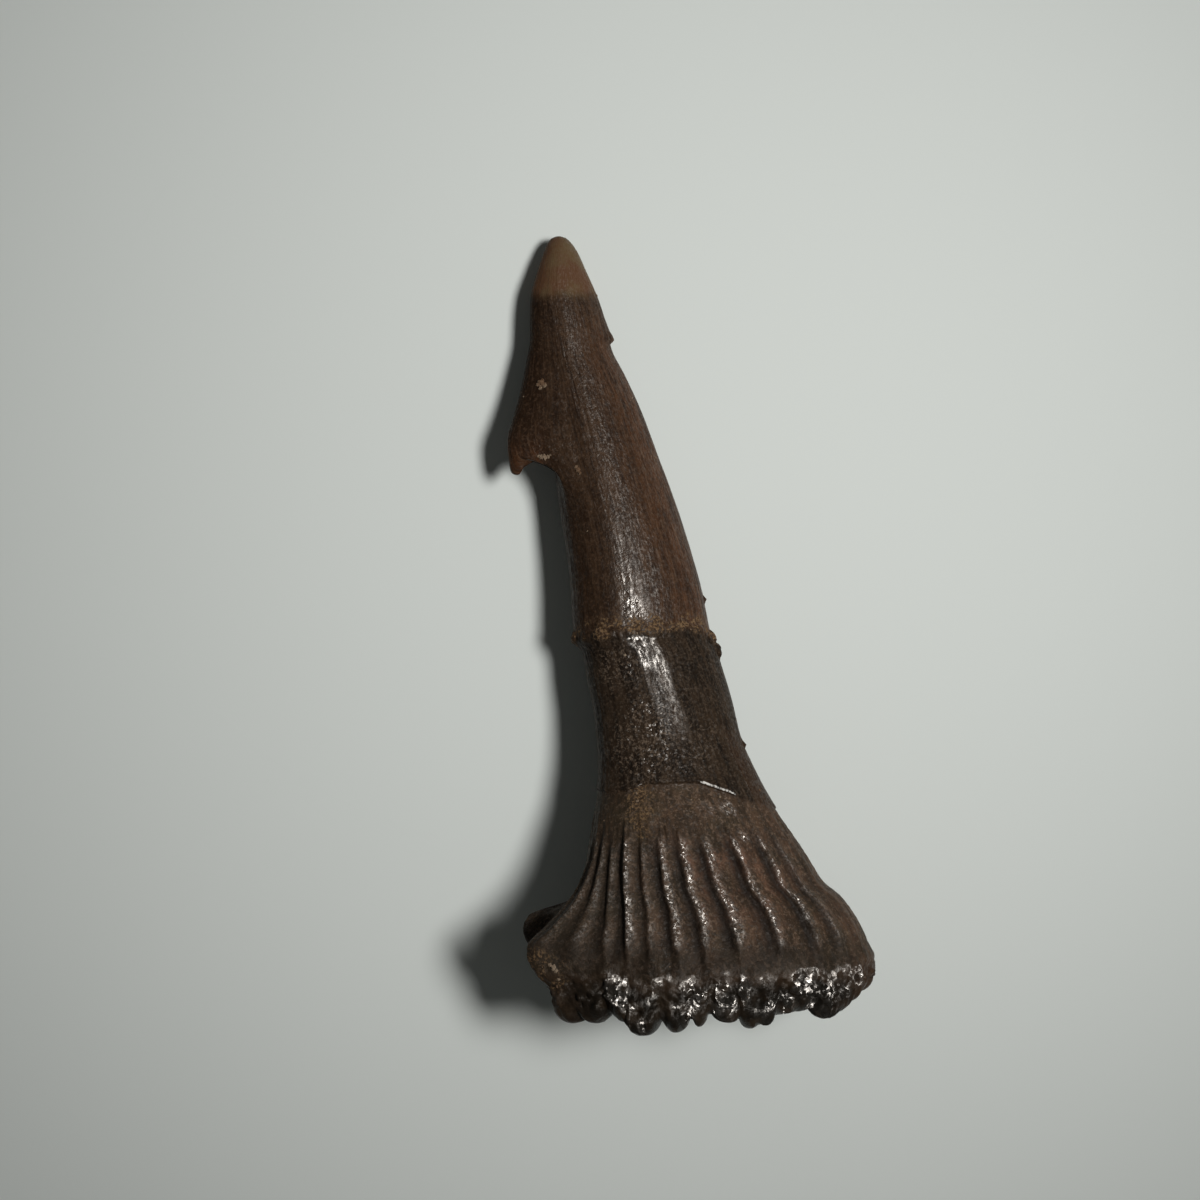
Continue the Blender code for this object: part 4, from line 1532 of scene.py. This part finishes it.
class NodeDesk:
    """Lays out the nodes of one material, with coordinates in millimetres."""

    def __init__(self, name: str) -> None:
        """Start a material.

        Args:
            name: Name of the material.
        """
        self.material = bpy.data.materials.new(name)
        self.material.use_nodes = True
        self.tree = self.material.node_tree
        self.shader = self.tree.nodes["Principled BSDF"]

    def node(self, kind: str, inputs: dict[str | int, object], **settings: object) -> bpy.types.Node:
        """Add a node.

        Args:
            kind: Blender's name for the node's class.
            inputs: Values or sockets for its inputs.
            settings: Its other properties.

        Returns:
            The node.
        """
        made = self.tree.nodes.new(kind)
        for name, value in settings.items():
            setattr(made, name, value)
        for name, value in inputs.items():
            if isinstance(value, bpy.types.NodeSocket):
                self.tree.links.new(value, made.inputs[name])
            else:
                made.inputs[name].default_value = value
        return made

    def zone(self, zone: Zone) -> Socket:
        """Return the share of a zone."""
        return self.node("ShaderNodeAttribute", {}, attribute_name=zone.value).outputs["Fac"]

    @cached_property
    def place(self) -> Socket:
        """Object coordinates in millimetres."""
        return self.scaled(self.node("ShaderNodeTexCoord", {}).outputs["Object"], 1 / MM)

    def scaled(self, vector: Socket | Colour, by: Socket | float) -> Socket:
        """Return a vector times a number."""
        return self.node("ShaderNodeVectorMath", {0: vector, "Scale": by}, operation="SCALE").outputs[0]

    def moved(self, vector: Socket, by: Socket) -> Socket:
        """Return the sum of two vectors."""
        return self.node("ShaderNodeVectorMath", {0: vector, 1: by}, operation="ADD").outputs[0]

    def centred(self, colour: Socket) -> Socket:
        """Return a random colour as a vector round zero."""
        return self.node("ShaderNodeVectorMath", {0: colour, 1: (0.5, 0.5, 0.5)}, operation="SUBTRACT").outputs[0]

    def lanes(self, pull: float) -> Socket:
        """Return coordinates that run along the tooth, drawn out by pull."""
        lane = self.node("ShaderNodeAttribute", {}, attribute_name=LANE).outputs["Vector"]
        return self.node("ShaderNodeMapping", {"Vector": lane, "Scale": (1, 1 / pull, 1)}).outputs[0]

    def noise(self, pattern: Pattern) -> Socket:
        """Add a pattern's noise as it is, from 0 to 1.

        Args:
            pattern: The pattern to lay.

        Returns:
            The noise.
        """
        where = self.lanes(pattern.pull) if pattern.pull else self.place
        inputs = {"Vector": where, "Scale": 1 / pattern.size, "Detail": pattern.detail, "Roughness": pattern.rough}
        return self.node("ShaderNodeTexNoise", inputs).outputs["Fac"]

    def pattern(self, pattern: Pattern) -> Socket:
        """Add a pattern, mapped from the span of the noise that it shows."""
        return self.span(self.noise(pattern), pattern.low, pattern.high, pattern.to_low, pattern.to_high)

    def wander(self, size: float, reach: float) -> Socket:
        """Add a small random offset.

        Args:
            size: Distance over which the offset changes.
            reach: How far it goes each way.

        Returns:
            The offset, in millimetres.
        """
        inputs = {"Vector": self.place, "Scale": 1 / size, "Detail": 1.0}
        drift = self.node("ShaderNodeTexNoise", inputs).outputs["Color"]
        return self.scaled(self.centred(drift), 2 * reach)

    def span(self, value: Socket, low: float, high: float, to_low: float = 0.0, to_high: float = 1.0) -> Socket:
        """Map a value smoothly from one span to another.

        Args:
            value: The value to map.
            low: Where its span starts.
            high: Where its span ends.
            to_low: What low becomes.
            to_high: What high becomes.

        Returns:
            The mapped value.
        """
        inputs = {"Value": value, "From Min": low, "From Max": high, "To Min": to_low, "To Max": to_high}
        return self.node("ShaderNodeMapRange", inputs, interpolation_type="SMOOTHSTEP").outputs["Result"]

    def between(self, share: Socket, low: float, high: float) -> Socket:
        """Return low where the share is 0, rising or falling smoothly to high where it is 1."""
        return self.span(share, 0.0, 1.0, low, high)

    def work(self, operation: str, first: Socket | float, second: Socket | float) -> Socket:
        """Return the result of a clamped sum on two values."""
        return self.node("ShaderNodeMath", {0: first, 1: second}, operation=operation, use_clamp=True).outputs[0]

    def times(self, product: Socket, *others: Socket | float) -> Socket:
        """Multiply values.

        Args:
            product: The first value.
            others: The values that it is multiplied by.

        Returns:
            The product, kept between 0 and 1.
        """
        for other in others:
            product = self.work("MULTIPLY", product, other)
        return product

    def colour(self, share: Socket, low: Socket | Colour, high: Socket | Colour) -> Socket:
        """Mix two colours.

        Args:
            share: Share of the second colour.
            low: First colour.
            high: Second colour.

        Returns:
            The mixed colour.
        """
        inputs = {0: share, 6: self.rgba(low), 7: self.rgba(high)}
        return self.node("ShaderNodeMix", inputs, data_type="RGBA").outputs[2]

    def value(self, share: Socket, low: Socket | float, high: Socket | float) -> Socket:
        """Mix two values.

        Args:
            share: Share of the second value.
            low: First value.
            high: Second value.

        Returns:
            The mixed value.
        """
        return self.node("ShaderNodeMix", {0: share, 2: low, 3: high}, data_type="FLOAT").outputs[0]

    @staticmethod
    def rgba(colour: Socket | Colour) -> object:
        """Return where a painted highlight runs along the lip."""
        return (*colour, 1.0) if isinstance(colour, tuple) else colour

    def bump(self, relief: FineRelief, normal: Socket | None = None, strong: Socket | None = None) -> Socket:
        """Add fine relief.

        Args:
            relief: The relief.
            normal: The normal that it is added to, or none for the plain one.
            strong: How strongly it shows, in place of the relief's own value.

        Returns:
            The bumped normal.
        """
        inputs = {"Height": self.noise(relief.pattern), "Distance": relief.depth * MM, "Strength": relief.strong}
        if strong is not None:
            inputs["Strength"] = strong
        if normal is not None:
            inputs["Normal"] = normal
        return self.node("ShaderNodeBump", inputs).outputs["Normal"]

    def lean(self, normal: Socket, way: Socket | Colour, share: Socket) -> Socket:
        """Tilt the normal.

        Args:
            normal: The normal that is tilted.
            way: What is added to it at full share.
            share: How much of the tilt shows.

        Returns:
            The tilted normal.
        """
        summed = self.moved(normal, self.scaled(way, share))
        return self.node("ShaderNodeVectorMath", {0: summed}, operation="NORMALIZE").outputs[0]

    def facets(self, where: Socket, facets: Facets, tilt: Socket, normal: Socket) -> Socket:
        """Tilt the normal by another amount on each small facet, as on crumpled foil.

        Args:
            where: Coordinates in millimetres.
            facets: The facets.
            tilt: How far they may tilt; 1 is about 27 degrees.
            normal: The normal that is tilted.

        Returns:
            The tilted normal.
        """
        if facets.wander_size:
            where = self.moved(where, self.wander(facets.wander_size, facets.wander_reach))
        cell = self.node("ShaderNodeTexVoronoi", {"Vector": where, "Scale": 1 / facets.size}).outputs["Color"]
        return self.lean(normal, self.centred(cell), tilt)

    def plain(self, **inputs: float | Colour) -> None:
        """Set values that are the same all over on the shader's own sockets, named as for wire.

        Args:
            inputs: Values by the name of the input that takes them.
        """
        for name, value in inputs.items():
            self.shader.inputs[name.replace("_", " ")].default_value = self.rgba(value)

    def wire(self, **inputs: Socket) -> bpy.types.Material:
        """Link sockets to the shader, whose input names are given with _ for spaces, and return the material.

        Args:
            inputs: Sockets by the name of the input that takes them.

        Returns:
            The finished material.
        """
        for name, socket in inputs.items():
            self.tree.links.new(socket, self.shader.inputs[name.replace("_", " ")])
        return self.material


@dataclass(frozen=True)
class FossilFinish:
    """Mineralised enamel and dentine: dark brown crown, darker neck, fluted reddish base and near-black rim."""

    crown: Colour = (0.046, 0.025, 0.013)
    # Dark of the crown's streaks, and also the painted shade mixed over the rear side.
    crown_dark: Colour = (0.020, 0.0105, 0.006)
    crown_light: Colour = (0.135, 0.080, 0.048)
    warm: Colour = (0.078, 0.032, 0.014)
    warm_dark: Colour = (0.028, 0.013, 0.007)
    neck: Colour = (0.038, 0.024, 0.0145)
    neck_dark: Colour = (0.010, 0.007, 0.005)
    neck_light: Colour = (0.125, 0.090, 0.063)
    tip: Colour = (0.110, 0.074, 0.036)
    tip_red: Colour = (0.096, 0.046, 0.023)
    flute: Colour = (0.150, 0.076, 0.046)
    flute_cool: Colour = (0.066, 0.039, 0.022)
    # Dark of the base's fibres, and also the painted shade mixed over the rear side.
    flute_dark: Colour = (0.016, 0.011, 0.006)
    flute_light: Colour = (0.205, 0.136, 0.092)
    flute_olive: Colour = (0.046, 0.033, 0.018)
    # Near-black painted shade in the flutes' grooves, used as well for the base's dark pits.
    groove: Colour = (0.007, 0.005, 0.004)
    rim: Colour = (0.008, 0.006, 0.004)
    rim_brown: Colour = (0.026, 0.017, 0.010)
    sand: Colour = (0.172, 0.106, 0.054)
    sand_dark: Colour = (0.034, 0.019, 0.011)
    sand_pale: Colour = (0.260, 0.180, 0.105)
    # Pale colour of the crack's hairline and of the painted highlight along the ledge's lip.
    line: Colour = (0.720, 0.690, 0.640)
    rough_satin: float = 0.42
    rough_grain: float = 0.62
    rough_polish: float = 0.2
    rough_foil: float = 0.27
    rough_crust: float = 0.9
    shine_satin: float = 0.1
    shine_polish: float = 1.0
    shine_dark: float = 0.02
    shine_neck: float = 0.03
    shine_base: float = 0.12
    shine_plain: float = 0.25
    density: float = 1.7
    sheen: Colour = (1.0, 0.93, 0.85)
    streaks: Pattern = Pattern(size=0.6, low=0.41, high=0.59, detail=5.0, rough=0.72, pull=7.0)
    hairs: Pattern = Pattern(size=0.2, low=0.52, high=0.68, rough=0.6, pull=10.0)
    specks: Pattern = Pattern(size=0.2, low=0.5, high=0.64, rough=0.75)
    pits: Pattern = Pattern(size=0.26, low=0.5, high=0.64, rough=0.75)
    clouds: Pattern = Pattern(size=1.1, low=0.38, high=0.62, detail=5.0, rough=0.7)
    ruddy: Pattern = Pattern(size=2.4, low=0.42, high=0.66, rough=0.6)
    cloud_share: float = 0.35
    dark_and_shade_share: float = 0.8
    crown_hairs: tuple[float, float] = (0.2, 0.46)
    crown_specks: float = 0.26
    neck_warmth: float = 0.7
    neck_hairs: float = 0.16
    neck_specks: tuple[float, float] = (0.34, 1.0)
    pit_share: float = 0.42
    fibres: Pattern = Pattern(size=0.42, low=0.4, high=0.6, detail=5.0, rough=0.78, to_low=0.3, pull=4.0)
    base_specks: Pattern = Pattern(size=0.26, low=0.51, high=0.62, rough=0.78)
    base_pits: Pattern = Pattern(size=0.24, low=0.5, high=0.62, rough=0.78)
    olive: Pattern = Pattern(size=2.6, low=0.46, high=0.6, detail=4.0, rough=0.6)
    rim_clouds: Pattern = Pattern(size=1.3, low=0.42, high=0.7, detail=4.0)
    olive_share: float = 0.6
    base_speck_share: float = 0.48
    groove_shade_share: float = 0.9
    base_pit_share: float = 0.4
    base_dark_and_shade_share: float = 0.6
    sand_grains: Pattern = Pattern(size=0.16, low=0.4, high=0.66, detail=2.0, rough=0.7)
    pale_grains: Pattern = Pattern(size=0.12, low=0.66, high=0.74, detail=1.0)
    sand_patchy: tuple[float, float] = (0.55, 1.6)
    sand_edge: tuple[float, float] = (0.15, 0.8)
    line_gaps: Pattern = Pattern(size=0.2, low=0.36, high=0.6, rough=0.7)
    line_patchy: tuple[float, float] = (0.6, 1.2)
    line_edge: tuple[float, float] = (0.2, 0.62)
    skin_wear: Pattern = Pattern(size=0.17, low=0.38, high=0.53, rough=0.7, to_low=0.12, pull=3.0)
    base_wear: Pattern = Pattern(size=0.17, low=0.45, high=0.55, detail=2.0, rough=0.7, to_low=0.08)
    rim_wear: Pattern = Pattern(size=0.3, low=0.38, high=0.5, rough=0.7, to_low=0.3)
    rim_polish: tuple[float, float] = (0.14, 0.5)
    sparks: Pattern = Pattern(size=0.24, low=0.57, high=0.64, detail=1.0)
    spark_share: float = 0.8
    sparks_by_grain: tuple[float, float] = (0.12, 1.0)
    sparks_by_base: tuple[float, float] = (0.8, 0.2)
    sparks_by_dark: tuple[float, float] = (1.0, 0.1)
    sheen_hairs: Pattern = Pattern(
        size=0.15, low=0.46, high=0.62, detail=2.0, to_low=0.55, to_high=2.6, pull=2.0,
    )
    fine: FineRelief = FineRelief(Pattern(size=0.15, detail=2.0, rough=0.6), depth=0.02, strong=0.9)
    coarse: FineRelief = FineRelief(Pattern(size=0.3, rough=0.65), depth=0.06)
    coarse_by_grain: tuple[float, float] = (0.3, 1.0)
    coarse_on_base: float = 0.7
    scratches: FineRelief = FineRelief(
        Pattern(size=0.2, detail=2.0, rough=0.6, pull=16.0), depth=0.014, strong=0.8,
    )
    lean: Colour = (0.24, 0.02, 0.97)
    cord_lean: float = 1.9
    rim_lean: float = 1.8
    neck_lean: float = 0.8
    front_lean: Colour = (-0.6, 0.0, 0.6)
    front_edge: tuple[float, float] = (3.5, 9.0)
    crumple_size: float = 0.8
    crumple_reach: float = 0.5
    foil_facets: Facets = Facets(size=0.4, tilt=0.35, wander_size=0.5, wander_reach=0.25)
    grain_facets: Facets = Facets(size=0.15, wander_size=0.4, wander_reach=0.15)
    grain_pull: float = 2.4
    grain_tilt: tuple[float, float] = (0.12, 0.34)
    grain_tilt_on_foil: float = 0.3
    cord_facets: Facets = Facets(size=0.2, tilt=0.55)

    def skin_colour(self, desk: NodeDesk) -> Socket:
        """Return the colour of crown, neck and tip, darker on the rear side partly as painted shade.

        Args:
            desk: Desk to lay the nodes on.

        Returns:
            The colour.
        """
        hair, speck, pit = desk.pattern(self.hairs), desk.pattern(self.specks), desk.pattern(self.pits)
        streak = desk.value(self.cloud_share, desk.pattern(self.streaks), desk.pattern(self.clouds))
        warmth, dark = desk.zone(Zone.WARM), desk.zone(Zone.DARK_AND_SHADE)
        crown = desk.colour(streak, self.crown_dark, self.crown)
        crown = desk.colour(warmth, crown, desk.colour(streak, self.warm_dark, self.warm))
        # Darker rear and underside: partly the enamel's own tone, partly painted shade.
        crown = desk.colour(desk.times(dark, self.dark_and_shade_share), crown, self.crown_dark)
        crown = desk.colour(desk.times(hair, desk.between(warmth, *self.crown_hairs)), crown, self.crown_light)
        crown = desk.colour(desk.times(speck, self.crown_specks), crown, self.crown_light)
        neck = desk.colour(streak, self.neck_dark, self.neck)
        neck = desk.colour(desk.times(warmth, self.neck_warmth), neck, self.warm)
        neck = desk.colour(desk.times(hair, self.neck_hairs), neck, self.neck_light)
        dots = desk.times(speck, desk.between(desk.zone(Zone.GRAIN), *self.neck_specks))
        neck = desk.colour(dots, neck, self.neck_light)
        skin = desk.colour(desk.zone(Zone.NECK), crown, neck)
        skin = desk.colour(desk.times(pit, self.pit_share), skin, self.neck_dark)
        ruddy = desk.work("ADD", desk.pattern(self.ruddy), dark)
        return desk.colour(desk.zone(Zone.TIP), skin, desk.colour(ruddy, self.tip, self.tip_red))

    def base_colour(self, desk: NodeDesk) -> Socket:
        """Return the colour of the fluted base and the rim, with painted shade in the grooves and on the rear side.

        Args:
            desk: Desk to lay the nodes on.

        Returns:
            The colour.
        """
        flute = desk.colour(desk.zone(Zone.WARM), self.flute_cool, self.flute)
        flute = desk.colour(desk.times(desk.pattern(self.olive), self.olive_share), flute, self.flute_olive)
        flute = desk.colour(desk.pattern(self.fibres), self.flute_dark, flute)
        # Over the fluted colour: pale specks, painted shade in the grooves, dark pits, and the darker rear side,
        # partly painted shade.
        for share, over in (
            (desk.times(desk.pattern(self.base_specks), self.base_speck_share), self.flute_light),
            (desk.times(desk.zone(Zone.GROOVE_SHADE), self.groove_shade_share), self.groove),
            (desk.times(desk.pattern(self.base_pits), self.base_pit_share), self.groove),
            (desk.times(desk.zone(Zone.DARK_AND_SHADE), self.base_dark_and_shade_share), self.flute_dark),
        ):
            flute = desk.colour(share, flute, over)
        rim = desk.colour(desk.pattern(self.rim_clouds), self.rim, self.rim_brown)
        return desk.colour(desk.zone(Zone.RIM), flute, rim)

    def colour(self, desk: NodeDesk, base: Socket, grains: Socket, cling: Socket) -> Socket:
        """Return the whole tooth's colour, with its sand crust, the crack's pale hairline and a painted highlight
        on the ledge.

        Args:
            desk: Desk to lay the nodes on.
            base: Where the fluted base and the rim are.
            grains: Pattern of the crust's grains.
            cling: How much of the surface the crust hides.

        Returns:
            The colour.
        """
        colour = desk.colour(base, self.skin_colour(desk), self.base_colour(desk))
        crust = desk.colour(grains, self.sand_dark, self.sand)
        crust = desk.colour(desk.pattern(self.pale_grains), crust, self.sand_pale)
        colour = desk.colour(cling, colour, crust)
        # The painted highlight on the ledge's lip and the crack's pale hairline, ragged in places.
        ragged = desk.between(desk.pattern(self.line_gaps), *self.line_patchy)
        line = desk.span(desk.times(desk.zone(Zone.PALE_AND_HIGHLIGHT), ragged), *self.line_edge)
        return desk.colour(line, colour, self.line)

    def glint(self, desk: NodeDesk, base: Socket, polish: Socket, cling: Socket) -> Socket:
        """Return where the surface glints: on polished places, worn off here and there, and in single sparks.

        Args:
            desk: Desk to lay the nodes on.
            base: Where the fluted base and the rim are.
            polish: Where the surface is polished.
            cling: How much of the surface the crust hides.

        Returns:
            The share of the glint.
        """
        worn = desk.value(base, desk.pattern(self.skin_wear), desk.pattern(self.base_wear))
        worn = desk.value(desk.zone(Zone.RIM), worn, desk.pattern(self.rim_wear))
        spark = desk.times(
            desk.pattern(self.sparks),
            self.spark_share,
            desk.between(desk.zone(Zone.GRAIN), *self.sparks_by_grain),
            desk.between(base, *self.sparks_by_base),
            desk.between(desk.zone(Zone.DARK_AND_SHADE), *self.sparks_by_dark),
        )
        glint = desk.work("MAXIMUM", desk.times(polish, worn), spark)
        return desk.times(glint, desk.between(cling, 1.0, 0.0))

    def roughness(self, desk: NodeDesk, base: Socket, glint: Socket, cling: Socket) -> Socket:
        """Return how rough the surface is.

        Args:
            desk: Desk to lay the nodes on.
            base: Where the fluted base and the rim are.
            glint: Where the surface glints.
            cling: How much of the surface the crust hides.

        Returns:
            The roughness.
        """
        rough = desk.value(desk.zone(Zone.FLUTED), self.rough_satin, self.rough_grain)
        rough = desk.value(glint, rough, desk.value(base, self.rough_polish, self.rough_foil))
        return desk.value(cling, rough, self.rough_crust)

    def shine(self, desk: NodeDesk, base: Socket, glint: Socket) -> Socket:
        """Return how much the surface mirrors.

        Args:
            desk: Desk to lay the nodes on.
            base: Where the fluted base and the rim are.
            glint: Where the surface glints.

        Returns:
            The specular level.
        """
        shine = desk.value(desk.zone(Zone.DARK_AND_SHADE), self.shine_satin, self.shine_dark)
        shine = desk.value(desk.zone(Zone.NECK), shine, self.shine_neck)
        shine = desk.times(shine, desk.pattern(self.sheen_hairs))
        shine = desk.value(base, shine, self.shine_base)
        return desk.value(glint, shine, self.shine_polish)

    def normal(self, desk: NodeDesk, base: Socket, polish: Socket, glint: Socket) -> Socket:
        """Return the normal, with fine relief and with the lean and the facets of worn places.

        Args:
            desk: Desk to lay the nodes on.
            base: Where the fluted base and the rim are.
            polish: Where the surface is polished.
            glint: Where the surface glints.

        Returns:
            The normal.
        """
        rim = desk.zone(Zone.RIM)
        granular = desk.work("MAXIMUM", desk.zone(Zone.GRAIN), desk.times(base, self.coarse_on_base))
        normal = desk.bump(self.coarse, desk.bump(self.fine), desk.between(granular, *self.coarse_by_grain))
        normal = desk.bump(self.scratches, normal)
        cords, foil = desk.times(polish, desk.zone(Zone.FLUTED)), desk.times(rim, polish)
        strip = desk.times(desk.zone(Zone.NECK), polish)
        for lean, share in ((self.cord_lean, cords), (self.rim_lean, foil), (self.neck_lean, strip)):
            normal = desk.lean(normal, tuple(part * lean for part in self.lean), share)
        x = desk.node("ShaderNodeSeparateXYZ", {0: desk.place}).outputs["X"]
        normal = desk.lean(normal, self.front_lean, desk.times(desk.span(x, *self.front_edge), foil))
        normal = desk.lean(normal, desk.wander(self.crumple_size, self.crumple_reach), rim)
        normal = desk.facets(desk.place, self.foil_facets, desk.times(rim, self.foil_facets.tilt), normal)
        tilt = desk.work("ADD", desk.between(glint, *self.grain_tilt), desk.times(foil, self.grain_tilt_on_foil))
        normal = desk.facets(desk.lanes(self.grain_pull), self.grain_facets, tilt, normal)
        return desk.facets(desk.place, self.cord_facets, desk.times(cords, self.cord_facets.tilt), normal)

    def material(self) -> bpy.types.Material:
        """Return the tooth's material.

        Returns:
            The material.
        """
        desk = NodeDesk("fossil_enamel_dressed")
        rim, polish = desk.zone(Zone.RIM), desk.zone(Zone.POLISH)
        base = desk.work("ADD", desk.zone(Zone.FLUTED), rim)
        polish = desk.value(rim, polish, desk.span(polish, *self.rim_polish))
        grains = desk.pattern(self.sand_grains)
        patchy = desk.between(grains, *self.sand_patchy)
        cling = desk.span(desk.times(desk.zone(Zone.SAND), patchy), *self.sand_edge)
        glint = self.glint(desk, base, polish, cling)
        desk.plain(IOR=self.density, Specular_IOR_Level=self.shine_plain, Specular_Tint=self.sheen)
        return desk.wire(
            Base_Color=self.colour(desk, base, grains, cling),
            Roughness=self.roughness(desk, base, glint, cling),
            Specular_IOR_Level=self.shine(desk, base, glint),
            Normal=self.normal(desk, base, polish, glint),
        )


@dataclass(frozen=True)
class SandFinish:
    """Pale quartz and ochre grains."""

    ochre: Colour = (0.115, 0.062, 0.031)
    pale: Colour = (0.235, 0.175, 0.118)
    kinds: Pattern = Pattern(size=2.2, low=0.4, high=0.6, detail=2.0)
    pitted: FineRelief = FineRelief(Pattern(size=0.09, detail=2.0), depth=0.02, strong=0.7)
    roughness: float = 0.7
    shine: float = 0.3

    def material(self) -> bpy.types.Material:
        """Return the grains' material.

        Returns:
            The material.
        """
        desk = NodeDesk("stuck_sand")
        colour = desk.colour(desk.pattern(self.kinds), self.ochre, self.pale)
        desk.plain(Roughness=self.roughness, Specular_IOR_Level=self.shine)
        return desk.wire(Base_Color=colour, Normal=desk.bump(self.pitted))


@dataclass(frozen=True)
class FloorFinish:
    """Plain pale floor."""

    colour: Colour = (0.725, 0.755, 0.715)
    roughness: float = 0.8
    shine: float = 0.2

    def material(self) -> bpy.types.Material:
        """Return the floor's material.

        Returns:
            The material.
        """
        desk = NodeDesk("pale_floor")
        desk.plain(Base_Color=self.colour, Roughness=self.roughness, Specular_IOR_Level=self.shine)
        return desk.material


# ---------------------------------------------------------------- studio


@dataclass
class Studio:
    """The floor, the light and the camera."""

    view_middle: tuple[float, float] = (-5.87, 1.78)
    camera_height: float = 190.0
    view_width: float = 79.5
    sensor: float = 36.0
    floor_size: float = 4.0
    light_tilt: float = 28.0
    light_turn: float = 6.0
    light_distance: float = 350.0
    light_width: float = 74.0
    light_length: float = 130.0
    light_power: float = 0.047
    light_spread: float = 34.0
    light_aim: tuple[float, float] = (0.0, 15.0)
    zenith: float = 0.05
    horizon: float = 0.09
    zenith_from: float = 0.6
    sky_tint: Colour = (0.97, 1.0, 0.98)
    near_clip: float = 10.0

    def floor(self, finish: FloorFinish) -> bpy.types.Object:
        """Return the plain floor.

        Args:
            finish: The floor's finish.

        Returns:
            The floor.
        """
        mesh = bpy.data.meshes.new("floor")
        bm = bmesh.new()
        bmesh.ops.create_grid(bm, x_segments=1, y_segments=1, size=self.floor_size / 2)
        bm.to_mesh(mesh)
        bm.free()
        mesh.materials.append(finish.material())
        floor = bpy.data.objects.new("floor", mesh)
        bpy.context.scene.collection.objects.link(floor)
        return floor

    def light(self) -> bpy.types.Object:
        """Return the one soft lamp, high on the tooth's front side.

        Returns:
            The lamp.
        """
        lamp = bpy.data.lights.new("soft_lamp", "AREA")
        lamp.shape = "ELLIPSE"
        lamp.size, lamp.size_y = self.light_length * MM, self.light_width * MM
        lamp.energy = self.light_power
        lamp.spread = math.radians(self.light_spread)
        tilt, turned = math.radians(self.light_tilt), math.radians(self.light_turn)
        aim = Vector((math.sin(tilt) * math.cos(turned), math.sin(tilt) * math.sin(turned), math.cos(tilt)))
        light = bpy.data.objects.new("soft_lamp", lamp)
        light.location = (aim * self.light_distance + Vector((*self.light_aim, 0.0))) * MM
        light.rotation_euler = aim.to_track_quat("Z", "Y").to_euler()
        bpy.context.scene.collection.objects.link(light)
        return light

    def sky(self) -> bpy.types.World:
        """Return the dim surroundings, lighter towards the horizon.

        Returns:
            The world.
        """
        world = bpy.data.worlds.new("studio")
        world.use_nodes = True
        nodes, links = world.node_tree.nodes, world.node_tree.links
        split = nodes.new("ShaderNodeSeparateXYZ")
        links.new(nodes.new("ShaderNodeTexCoord").outputs["Generated"], split.inputs[0])
        fall = nodes.new("ShaderNodeMapRange")
        links.new(split.outputs["Z"], fall.inputs["Value"])
        spans = {"From Min": 0.0, "From Max": self.zenith_from, "To Min": self.horizon, "To Max": self.zenith}
        for name, value in spans.items():
            fall.inputs[name].default_value = value
        links.new(fall.outputs["Result"], nodes["Background"].inputs["Strength"])
        nodes["Background"].inputs["Color"].default_value = (*self.sky_tint, 1.0)
        bpy.context.scene.world = world
        return world

    def camera(self) -> bpy.types.Object:
        """Return the camera, straight above the tooth.

        Returns:
            The camera.
        """
        data = bpy.data.cameras.new("camera")
        data.sensor_width = self.sensor
        data.lens = self.sensor * self.camera_height / self.view_width
        data.clip_start = self.near_clip * MM
        camera = bpy.data.objects.new("camera", data)
        camera.matrix_world = Matrix.Translation(Vector((*self.view_middle, self.camera_height)) * MM)
        bpy.context.scene.collection.objects.link(camera)
        bpy.context.scene.camera = camera
        return camera

    def build(self, finish: FloorFinish) -> None:
        """Set up the studio.

        Args:
            finish: The floor's finish.
        """
        self.floor(finish)
        self.light()
        self.sky()
        self.camera()
        bpy.context.scene.view_settings.view_transform = "Standard"


def main() -> None:
    """Build the dressed tooth, its sand and the studio."""
    logging.basicConfig(level=logging.INFO, format="%(name)s: %(message)s")
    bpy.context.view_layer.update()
    tooth = SawfishTooth().build(FossilFinish())
    log.info("%s: %d faces", tooth.name, len(tooth.data.polygons))
    sand = StuckSand().build(tooth, SandFinish())
    log.info("%s: %d faces", sand.name, len(sand.data.polygons))
    Studio().build(FloorFinish())


if __name__ == "__main__":
    main()
